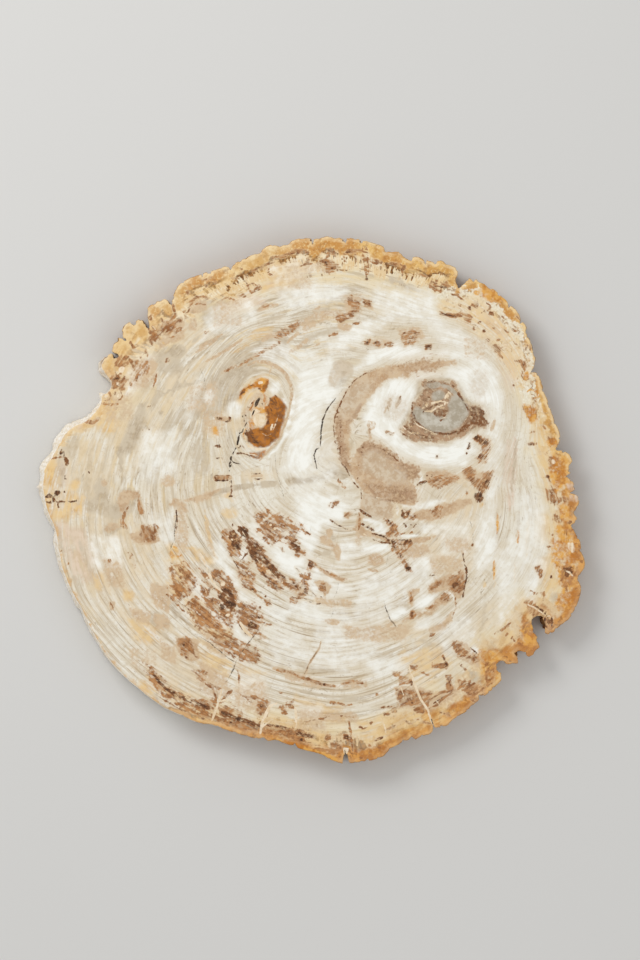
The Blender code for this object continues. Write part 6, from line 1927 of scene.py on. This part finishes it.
CELL_FILLS = ((231, 220, 194), (243, 236, 216))
CELL_SAND = (222, 198, 152)
CELL_OUTLINE = (156, 112, 70)
CELL_SPECK = (128, 90, 56)

STAIN = (224, 202, 168)
CRUMBS = ((156, 114, 76), (196, 162, 122))
FLECK = (224, 188, 140)
AGATE_EDGE = (162, 142, 114)

BARK = ((140, 88, 40), (212, 160, 88))
BARK_SAND = (226, 198, 154)
BARK_SPECK = (104, 64, 34)
PALE_BARK = ((238, 226, 204), (252, 246, 236))
PALE_BARK_SAND = (234, 206, 166)
# Painted shade for the bark's hollows, on the ochre bark and on the bleached bark
BARK_HOLLOW_SHADE = (90, 56, 30)
PALE_HOLLOW_SHADE = (208, 176, 134)

# Noises of even grain: size in pixels, detail and roughness
SPOT_NOISES = {
    "fine": (2.6, 3.0, 0.6), "speckle": (3.6, 3.0, 0.7), "middling": (9.0, 3.0, 0.55),
    "broad": (55.0, 2.0, 0.5), "blots": (7.0, 2.0, 0.55),
}
# Noises that run along the growth rings: size across and along these in pixels, a shift that keeps them
# apart, detail and roughness
RING_NOISES = {
    "lines": (1.8, 60.0, 0.0, 2.0, 0.6), "strokes": (3.6, 26.0, 13.0, 3.0, 0.6),
    "dashes": (2.6, 9.0, 97.0, 3.0, 0.6), "hairs": (1.3, 90.0, 101.0, 1.0, 0.5),
    "bands": (8.0, 40.0, 31.0, 3.0, 0.6), "wide": (26.0, 80.0, 47.0, 2.0, 0.5),
    "short": (1.7, 6.0, 71.0, 2.0, 0.5), "patches": (12.0, 26.0, 83.0, 3.0, 0.6),
}
# Noises that run from the pith to the rim: the radius of their circle in their own widths, and their length
# in pixels
RAY_NOISES = {"teeth": (80.0, 20.0), "rays": (50.0, 40.0)}
SEAM_WANDER = (24.0, 170.0, 7.0, 2.0, 0.5)  # the noise along the rings by which fine growth lines wander
SEAM_WANDER_GAIN = 26.0
# Where some looks begin and are full, in pixels right of and above the slice's middle: richer gold below,
# and the faded and the streaky upper left
RICH_FROM = (80.0, -30.0)
FADED_FROM = (235.0, 300.0)
STREAKY_FROM = (50.0, 190.0)
# The growth lines show less at the right and in the upper half: from where to where, and how much at each
LEFTWARD_TO = (90.0, 180.0, 1.0, 0.25)
LOWER_FROM = (30.0, -70.0, 0.35, 1.0)
STREAK_WIDTH = 3.2  # pixels across a streak of the bark
STREAK_HEIGHT = 22.0
GRIT = (1.6, 3.0, 0.65)  # the bump's fine noise: size in pixels, detail and roughness
FIRST_DRIPS_AT = 0.42  # where in the rind's width the first row of drips hangs
FIRST_DRIP_LENGTHS = (2.6, 11.0)  # pixels
SECOND_DRIP_LENGTHS = (1.6, 9.0)
CELLS_COVER = 0.92  # how much of the cream the outlined cells cover
UNDERSIDE_REACH = 2.0  # pixels above the base at which the underside's duller finish has ended

# How rough each finish is, from its smoother to its rougher places
POLISHED_FINISH = (0.32, 0.40)
BARK_FINISH = (0.62, 0.85)
UNDERSIDE_FINISH = (0.5, 0.62)
POLISH_BUMP = 0.03  # how strong the bump of the polished face is beside the bark's
BUMP_STRENGTH = 0.6
BUMP_HEIGHT = 0.0004  # metres
SPECULAR = 0.25


def linear(screen):
    """A colour given by its screen values from 0 to 255, as Blender's nodes take it."""
    shares = [value / 255.0 for value in screen]
    return [s / 12.92 if s <= 0.04045 else ((s + 0.055) / 1.055) ** 2.4 for s in shares] + [1.0]


class Nodes:
    """Short names for building a material. A value is a number, a colour or another node's output."""

    def __init__(self, material):
        self.tree = material.node_tree
        self.tree.nodes.clear()

    def new(self, kind):
        return self.tree.nodes.new("ShaderNode" + kind)

    def plug(self, socket, value):
        if isinstance(value, bpy.types.NodeSocket):
            self.tree.links.new(value, socket)
        else:
            socket.default_value = value

    def math(self, operation, *values):
        node = self.new("Math")
        node.operation = operation
        for socket, value in zip(node.inputs, values):
            self.plug(socket, value)
        return node.outputs[0]

    def sum(self, *values):
        total = values[0]
        for value in values[1:]:
            total = self.math("ADD", total, value)
        return total

    def times(self, *values):
        product = values[0]
        for value in values[1:]:
            product = self.math("MULTIPLY", product, value)
        return product

    def most(self, *values):
        largest = values[0]
        for value in values[1:]:
            largest = self.math("MAXIMUM", largest, value)
        return largest

    def signed(self, noise, gain):
        """Noise moved to lie about 0: mostly within a quarter of the gain each way."""
        return self.math("MULTIPLY_ADD", noise, gain, -gain / 2)

    def vector(self, x, y, z):
        node = self.new("CombineXYZ")
        for socket, value in zip(node.inputs, (x, y, z)):
            self.plug(socket, value)
        return node.outputs[0]

    def split(self, vector):
        node = self.new("SeparateXYZ")
        self.plug(node.inputs[0], vector)
        return node.outputs

    def mix(self, share, under, over):
        """A colour with another over it. Plain colours are given by their screen values."""
        node = self.new("Mix")
        node.data_type = "RGBA"
        self.plug(node.inputs[0], share)
        for socket, colour in ((node.inputs[6], under), (node.inputs[7], over)):
            self.plug(socket, linear(colour) if isinstance(colour, tuple) else colour)
        return node.outputs[2]

    def layers(self, colour, *above):
        """A colour with others laid over it in turn, each given by its share and the colour itself."""
        for share, over in above:
            colour = self.mix(share, colour, over)
        return colour

    def passage(self, share, start, end):
        """A number that goes from start to end as the share goes from 0 to 1."""
        node = self.new("Mix")
        for socket, value in zip((node.inputs[0], node.inputs[2], node.inputs[3]), (share, start, end)):
            self.plug(socket, value)
        return node.outputs[0]

    def noise(self, place, size=1.0, detail=2.0, rough=0.5):
        """Noise about 0.5, mostly from 0.25 to 0.75."""
        node = self.new("TexNoise")
        self.plug(node.inputs["Vector"], place)
        for name, number in (("Scale", 1.0 / size), ("Detail", detail), ("Roughness", rough)):
            node.inputs[name].default_value = number
        return node.outputs["Fac"]

    def step(self, value, start, end, low=0.0, high=1.0):
        """A smooth passage from low to high as the value goes from start to end."""
        node = self.new("MapRange")
        node.interpolation_type = "SMOOTHSTEP"
        for socket, number in zip(node.inputs, (value, start, end, low, high)):
            self.plug(socket, number)
        return node.outputs[0]


def read_fields(n, trios):
    """Each field of the mesh as an output."""
    field = {}
    for trio in trios:
        read = n.new("Attribute")
        read.attribute_name = "_".join(trio)
        for name, output in zip(trio, n.split(read.outputs["Vector"])):
            field[name] = output
    return field


def grain_of(n, field, spot, axes):
    """The noises that the stone's colours share, and where on the slice some of them show."""
    away_x = n.sum(axes[0], MIDDLE[0] - PITH[0])
    away_y = n.sum(axes[1], PITH[1] - MIDDLE[1])
    away = n.most(n.math("SQRT", n.sum(n.times(away_x, away_x), n.times(away_y, away_y))), 1.0)
    cosine, sine = n.math("DIVIDE", away_x, away), n.math("DIVIDE", away_y, away)

    def along_rings(across, length, shift, detail, rough):
        ring = n.math("MULTIPLY_ADD", field["ring"], 1.0 / across, shift)
        place = n.vector(ring, n.times(axes[0], 1.0 / length), n.times(axes[1], 1.0 / length))
        return n.noise(place, 1.0, detail, rough)

    def across_rings(radius, length):
        ring = n.times(field["ring"], 1.0 / length)
        return n.noise(n.vector(n.times(cosine, radius), n.times(sine, radius), ring))

    grain = {name: n.noise(spot, *numbers) for name, numbers in SPOT_NOISES.items()}
    grain |= {name: along_rings(*numbers) for name, numbers in RING_NOISES.items()}
    grain |= {name: across_rings(*numbers) for name, numbers in RAY_NOISES.items()}
    wander = n.signed(along_rings(*SEAM_WANDER), SEAM_WANDER_GAIN)
    grain["seams"] = n.math("SINE", n.math("MULTIPLY_ADD", field["ring"], 2 * math.pi / SEAM_GAP, wander))
    upper_left = n.math("SUBTRACT", axes[1], axes[0])
    grain["rich"] = n.step(axes[1], *RICH_FROM)
    grain["faded"] = n.step(upper_left, *FADED_FROM)
    grain["streaky"] = n.step(upper_left, *STREAKY_FROM)
    grain["leftward"] = n.step(axes[0], *LEFTWARD_TO)
    grain["lower"] = n.step(axes[1], *LOWER_FROM)
    return grain


def cream_stone(n, g):
    """The stone's own cream, brushed along the growth rings in beige, with fine lines that come and go."""
    seams = n.times(n.step(g["patches"], 0.4, 0.58, 0.15, 0.7), g["lower"], g["leftward"])
    ringed = n.times(n.step(g["lines"], 0.54, 0.68), n.step(g["wide"], 0.34, 0.62, 0.1, 0.5), g["lower"])
    hairs = n.times(n.step(g["hairs"], 0.6, 0.7), n.step(g["bands"], 0.4, 0.6, 0.1, 0.75), g["lower"])
    return n.layers(
        n.mix(n.step(g["broad"], 0.38, 0.62), CREAM, DEEP_CREAM),
        (n.step(g["bands"], 0.5, 0.68, 0.0, 0.6), BAND_BEIGE),
        (n.step(g["wide"], 0.54, 0.7, 0.0, 0.45), WIDE_BEIGE),
        (n.times(n.step(g["strokes"], 0.5, 0.66), n.step(g["patches"], 0.4, 0.62, 0.1, 0.6)), STROKE_BEIGE),
        (n.step(g["strokes"], 0.45, 0.34, 0.0, 0.45), STROKE_WHITE),
        (ringed, RING_BROWN),
        (n.times(n.step(g["seams"], 0.7, 1.0), seams), SEAM_BROWN),
        (n.times(n.step(g["seams"], -0.3, -0.95), seams, 0.7), SEAM_WHITE),
        (n.times(n.step(g["strokes"], 0.52, 0.6), n.step(g["wide"], 0.4, 0.56, 0.2, 0.8), g["streaky"]),
         STREAK_TAUPE),
        (n.times(n.step(g["bands"], 0.54, 0.62), g["streaky"], 0.6), STREAK_SAND),
        (n.times(n.step(g["bands"], 0.46, 0.38), g["streaky"], 0.6), STREAK_GREY),
        (hairs, HAIR_BROWN),
        (n.step(g["lines"], 0.46, 0.34, 0.0, 0.3), LINE_WHITE),
        (n.times(n.step(g["short"], 0.6, 0.68), n.step(g["patches"], 0.5, 0.64, 0.0, 0.6)), DASH_BROWN),
        (n.step(g["rays"], 0.6, 0.74, 0.0, 0.3), RAY_BEIGE),
        (n.step(g["fine"], 0.54, 0.66, 0.0, 0.3), GRAIN_BEIGE),
        (n.step(g["speckle"], 0.57, 0.7, 0.0, 0.4), SPECK_BEIGE),
    )


def drips(n, g, down, shortest, longest):
    """Streaks that hang from a line towards the pith. Down is how far past the line a place lies."""
    length = n.sum(n.step(g["teeth"], 0.44, 0.68, shortest, longest), n.signed(g["speckle"], 7.0))
    return n.times(n.step(down, -1.6, 0.4), n.step(n.math("SUBTRACT", length, down), -0.4, 1.4))


def gold_of_rind(n, field, g):
    """The rind's outer part: gold, pale at the upper left and richer below, bloomed, specked and blotted."""
    tones = []
    for middle, pale, rich in zip(GOLD, PALE_GOLD, RICH_GOLD):
        tones.append(n.mix(g["rich"], n.mix(g["faded"], middle, pale), rich))
    light, dark = tones
    blots = n.times(n.step(g["blots"], 0.56, 0.62), n.step(g["speckle"], 0.42, 0.54))
    return n.layers(
        n.mix(n.step(g["middling"], 0.38, 0.62), dark, light),
        (n.times(n.step(g["broad"], 0.46, 0.58, 0.0, 0.7), n.step(g["fine"], 0.34, 0.56)), ORANGE_BLOOM),
        (n.step(g["speckle"], 0.56, 0.68, 0.0, 0.5), GOLD_SPECK),
        (n.times(n.step(g["fine"], 0.46, 0.36), n.passage(g["rich"], 0.4, 0.15)), GLINT),
        (n.times(blots, n.passage(g["rich"], 0.4, 0.8)), BLOT),
        (n.step(field["bleach"], 0.2, 0.8, 0.0, 0.6), BLEACHED_GOLD),
    )


def sand_of_rind(n, g):
    """The rind's inner part: pale sand, greyer where the gold is rich."""
    return n.layers(
        n.mix(n.step(n.sum(g["teeth"], g["middling"]), 0.88, 1.12), *SANDS),
        (n.times(g["rich"], n.step(g["fine"], 0.36, 0.6, 0.35, 0.85)), GREYER_SAND),
        (n.step(g["speckle"], 0.56, 0.66, 0.0, 0.45), SAND_SPECK),
    )


def golden_rind(n, field, g, colour):
    """The rind inside the rim: gold, brown drips, pale sand, and more drips where it meets the cream."""
    width = n.sum(field["rind"], field["rim"])
    depth = n.sum(field["rim"], n.signed(g["middling"], 14.0), n.signed(g["fine"], 4.0))
    share = n.math("DIVIDE", depth, n.most(width, 4.0))
    past = n.sum(depth, n.signed(g["teeth"], 9.0), n.times(width, -1.0))
    glow = n.times(n.step(past, 26.0, 0.0), n.step(g["patches"], 0.36, 0.6, 0.2, 0.75))
    glow = n.times(glow, n.step(width, 4.0, 12.0))
    layered = n.mix(n.step(share, 0.36, 0.56), gold_of_rind(n, field, g), sand_of_rind(n, g))

    past_first = n.math("MULTIPLY_ADD", width, -FIRST_DRIPS_AT, depth)
    first = n.times(drips(n, g, past_first, *FIRST_DRIP_LENGTHS), n.step(g["patches"], 0.42, 0.48))
    past_second = n.sum(depth, 2.0, n.times(width, -1.0))
    second = n.times(drips(n, g, past_second, *SECOND_DRIP_LENGTHS), n.step(g["strokes"], 0.44, 0.52))
    edge = n.times(n.passage(g["rich"], 1.0, 0.35), n.step(field["rim"], 4.0, 1.0))
    edge = n.times(edge, n.step(field["rind"], 0.0, 4.0), n.step(g["patches"], 0.4, 0.6, 0.1, 0.75))
    return n.layers(
        colour,
        (glow, GLOW),
        (n.step(past, 3.5, -2.5, 0.0, 0.95), layered),
        (n.times(first, field["fringe"], n.step(field["rind"], -2.0, 1.0)),
         n.mix(n.step(g["fine"], 0.42, 0.58), *FIRST_DRIPS)),
        (n.times(second, n.step(g["bands"], 0.49, 0.56), field["fringe"], 0.85),
         n.mix(n.step(g["fine"], 0.42, 0.56), *SECOND_DRIPS)),
        (edge, RIM_LINE),
    )


def outlined_cells(n, field, g, colour, spot):
    """Pale rounded cells, each with a broken brown outline, between the rind and the cream."""
    wobble = n.new("VectorMath")
    wobble.operation = "ADD"
    n.plug(wobble.inputs[0], spot)
    n.plug(wobble.inputs[1], n.vector(n.signed(g["middling"], 16.0), n.signed(g["speckle"], 9.0), 0.0))
    cells = n.new("TexVoronoi")
    cells.feature = "DISTANCE_TO_EDGE"
    cells.voronoi_dimensions = "2D"
    n.plug(cells.inputs["Vector"], wobble.outputs[0])
    cells.inputs["Scale"].default_value = 1.0 / CELL
    from_edge = cells.outputs["Distance"]
    zone = n.step(n.sum(field["cells"], n.signed(g["middling"], 16.0), n.signed(g["fine"], 8.0)), -1.0, 1.0)
    outline = n.times(n.step(from_edge, 0.14, 0.05), n.step(g["patches"], 0.5, 0.6, 0.05, 0.8))
    fill = n.layers(
        n.mix(n.step(g["fine"], 0.4, 0.6), *CELL_FILLS),
        (n.step(g["middling"], 0.55, 0.68, 0.0, 0.35), CELL_SAND),
        (outline, CELL_OUTLINE),
        (n.step(g["speckle"], 0.65, 0.7, 0.0, 0.6), CELL_SPECK),
    )
    return n.mix(n.times(zone, CELLS_COVER), colour, fill)


def stained(n, g, colour, near):
    """The glow and the crumbs round brown stone. Near is how far inside the nearest of it a place lies."""
    crumbs = n.sum(near, n.signed(g["speckle"], 12.0), n.signed(g["dashes"], 18.0))
    crumbs = n.step(crumbs, 1.2, 2.6, 0.0, 0.65)
    return n.layers(
        colour,
        (n.step(near, -5.0, 0.5, 0.0, 0.4), STAIN),
        (crumbs, n.mix(n.step(g["fine"], 0.42, 0.58), *CRUMBS)),
    )


def flecked(n, field, g, colour, near):
    """Pale flecks over the brown stone, but not over the agate or the amber-coloured knot."""
    flecks = n.times(n.step(g["speckle"], 0.44, 0.36), n.step(near, 0.0, 1.5, 0.0, 0.6))
    flecks = n.times(flecks, n.step(n.most(field["slate"], field["amber"]), -0.5, -1.5))
    return n.mix(flecks, colour, FLECK)


def families_over(n, field, g, colour):
    """The marks of every family in turn, whose edges, gaps and shades follow the noises of its kind."""
    edges_along = n.sum(n.signed(g["strokes"], 1.4), n.signed(g["middling"], 1.3), n.signed(g["fine"], 0.7),
                        n.signed(g["bands"], 1.0))
    sharp_edges = n.sum(n.signed(g["dashes"], 2.2), n.signed(g["lines"], 1.2), n.signed(g["fine"], 1.0),
                        n.signed(g["speckle"], 1.0), n.signed(g["rays"], 1.4), 0.12)
    plain_edges = n.sum(n.signed(g["middling"], 1.6), n.signed(g["speckle"], 1.6), n.signed(g["fine"], 1.2))
    curl = n.step(field["curl"], -1.0, 1.0)
    plain_shade = n.times(n.sum(g["middling"], g["speckle"]), 0.5)
    sharp_shade = n.passage(curl, n.times(n.sum(g["lines"], g["fine"], g["blots"]), 1 / 3), plain_shade)
    plain = (plain_edges, g["speckle"], plain_shade)
    sharp_gaps = n.passage(curl, g["dashes"], g["speckle"])
    sharp = (n.passage(curl, sharp_edges, plain_edges), sharp_gaps, sharp_shade)
    along = (edges_along, g["strokes"], n.times(n.sum(g["strokes"], g["middling"]), 0.5))
    near = n.most(field["brown"], n.sum(field["umber"], 0.5), field["rust"], n.sum(field["tan"], -2.0))

    for family, (light, dark, ragged, soft_edge, thin) in FAMILIES.items():
        edges, gaps, shade = plain if family in PLAIN else sharp if family in SHARP else along
        if family == "tan":
            colour = stained(n, g, colour, near)
        if family == "pale":
            colour = flecked(n, field, g, colour, near)
        if family == "gold":
            shade = g["middling"]
        if family == "brown":
            light, dark = n.mix(curl, light, CURL_BROWNS[0]), n.mix(curl, dark, CURL_BROWNS[1])
        mask = n.step(n.sum(field[family], n.times(edges, ragged)), -soft_edge, soft_edge)
        mask = n.times(mask, n.step(gaps, 0.40, 0.52, thin, 1.0))
        if family in ("brown", "rust"):
            mask = n.times(mask, n.step(g["fine"], 0.38, 0.52, 0.7, 1.0))
        colour = n.mix(mask, colour, n.mix(n.step(shade, 0.43, 0.57), dark, light))
        if family == "slate":
            near_edge = n.step(n.sum(field[family], n.signed(g["middling"], 9.0)), 6.0, 0.5, 0.0, 0.45)
            colour = n.mix(n.times(mask, near_edge), colour, AGATE_EDGE)
    return colour


def bark_over(n, field, g, colour, streak):
    """The bark: ochre and brown, bleached to cream on one side, with painted shade that darkens its hollows.
    """
    # Painted shade: darker where the bark's hollows lie deepest
    hollow = n.step(field["hollow"], 0.25, 0.85, 0.0, 0.7)
    bark = n.layers(
        n.mix(n.step(streak, 0.36, 0.64), *BARK),
        (n.step(g["middling"], 0.5, 0.68, 0.0, 0.7), BARK_SAND),
        (n.step(g["fine"], 0.58, 0.72, 0.0, 0.6), BARK_SPECK),
        (hollow, BARK_HOLLOW_SHADE),
    )
    pale = n.layers(
        n.mix(n.step(streak, 0.38, 0.6), *PALE_BARK),
        (n.step(g["middling"], 0.58, 0.7, 0.0, 0.35), PALE_BARK_SAND),
        (n.times(hollow, 0.4), PALE_HOLLOW_SHADE),
    )
    bleached = n.step(n.sum(field["bleach"], n.signed(g["middling"], 0.7)), 0.3, 0.6)
    return n.mix(n.step(field["wall"], 0.4, 0.9), colour, n.mix(bleached, bark, pale))


def stone_material(trios):
    """The whole finish. Its noises are sized in pixels of the photograph, seen from the slice's middle."""
    material = bpy.data.materials.new("petrified wood")
    material.use_nodes = True
    n = Nodes(material)
    field = read_fields(n, trios)
    in_pixels = n.new("VectorMath")
    in_pixels.operation = "SCALE"
    n.plug(in_pixels.inputs[0], n.new("TexCoord").outputs["Object"])
    in_pixels.inputs["Scale"].default_value = 1.0 / PIXEL
    spot = in_pixels.outputs[0]
    axes = n.split(spot)
    g = grain_of(n, field, spot, axes)

    colour = golden_rind(n, field, g, cream_stone(n, g))
    colour = outlined_cells(n, field, g, colour, spot)
    colour = families_over(n, field, g, colour)
    across, upward = 1.0 / STREAK_WIDTH, 1.0 / STREAK_HEIGHT
    upright = n.vector(n.times(axes[0], across), n.times(axes[1], across), n.times(axes[2], upward))
    streak = n.noise(upright, 1.0, 3.0, 0.6)
    colour = bark_over(n, field, g, colour, streak)

    roughness = n.step(g["broad"], 0.3, 0.7, *POLISHED_FINISH)
    roughness = n.most(roughness, n.times(field["wall"], n.step(g["fine"], 0.3, 0.7, *BARK_FINISH)))
    underside = n.step(axes[2], UNDERSIDE_REACH, UNDERSIDE_REACH / 2)
    roughness = n.most(roughness, n.times(underside, n.step(g["fine"], 0.3, 0.7, *UNDERSIDE_FINISH)))

    bump = n.new("Bump")
    bump.inputs["Strength"].default_value = BUMP_STRENGTH
    bump.inputs["Distance"].default_value = BUMP_HEIGHT
    grit = n.noise(spot, *GRIT)
    polish = n.times(n.sum(g["lines"], grit), POLISH_BUMP)
    n.plug(bump.inputs["Height"], n.sum(polish, n.times(n.sum(grit, streak), field["wall"])))

    shader = n.new("BsdfPrincipled")
    n.plug(shader.inputs["Base Color"], colour)
    n.plug(shader.inputs["Roughness"], roughness)
    n.plug(shader.inputs["Normal"], bump.outputs[0])
    shader.inputs["Specular IOR Level"].default_value = SPECULAR
    n.plug(n.new("OutputMaterial").inputs["Surface"], shader.outputs[0])
    return material


# Camera, light and floor


def camera_over_the_photograph():
    """A long lens that looks straight down, so that the slice is as large as in the photograph."""
    data = bpy.data.cameras.new("camera")
    data.lens = LENS
    data.clip_end = 2 * LENS_HEIGHT
    camera = bpy.data.objects.new("camera", data)
    x, y = to_metres(*PHOTO_CENTRE)
    camera.location = (x, y, TOP + LENS_HEIGHT)
    bpy.context.scene.collection.objects.link(camera)
    bpy.context.scene.camera = camera


def soft_light(name, place, size, power):
    """A square white light that faces the slice."""
    data = bpy.data.lights.new(name, "AREA")
    data.shape, data.size, data.energy = "SQUARE", size, power
    light = bpy.data.objects.new(name, data)
    light.location = place
    light.rotation_euler = (-Vector(place)).to_track_quat("-Z", "Y").to_euler()
    bpy.context.scene.collection.objects.link(light)


def floor():
    mesh = bpy.data.meshes.new("floor")
    half = FLOOR_SIZE / 2
    corners = [(-half, -half, 0), (half, -half, 0), (half, half, 0), (-half, half, 0)]
    mesh.from_pydata(corners, [], [(0, 1, 2, 3)])
    material = bpy.data.materials.new("pale floor")
    material.use_nodes = True
    shader = material.node_tree.nodes["Principled BSDF"]
    shader.inputs["Base Color"].default_value = linear(FLOOR_COLOUR)
    shader.inputs["Roughness"].default_value = FLOOR_ROUGHNESS
    mesh.materials.append(material)
    flat = bpy.data.objects.new("floor", mesh)
    flat.location.z = low.z - FLOOR_GAP
    bpy.context.scene.collection.objects.link(flat)


def studio():
    """An even white sky and two soft lights."""
    world = bpy.data.worlds.new("studio")
    world.use_nodes = True
    background = world.node_tree.nodes["Background"]
    background.inputs[0].default_value = (1.0, 1.0, 1.0, 1.0)
    background.inputs[1].default_value = SKY
    bpy.context.scene.world = world
    for name, numbers in LIGHTS.items():
        soft_light(name, *numbers)
    bpy.context.scene.view_settings.view_transform = "Standard"


stone, trios = build_stone()
stone.data.materials.append(stone_material(trios))
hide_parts("slab")
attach(stone, "root")

floor()
studio()
camera_over_the_photograph()
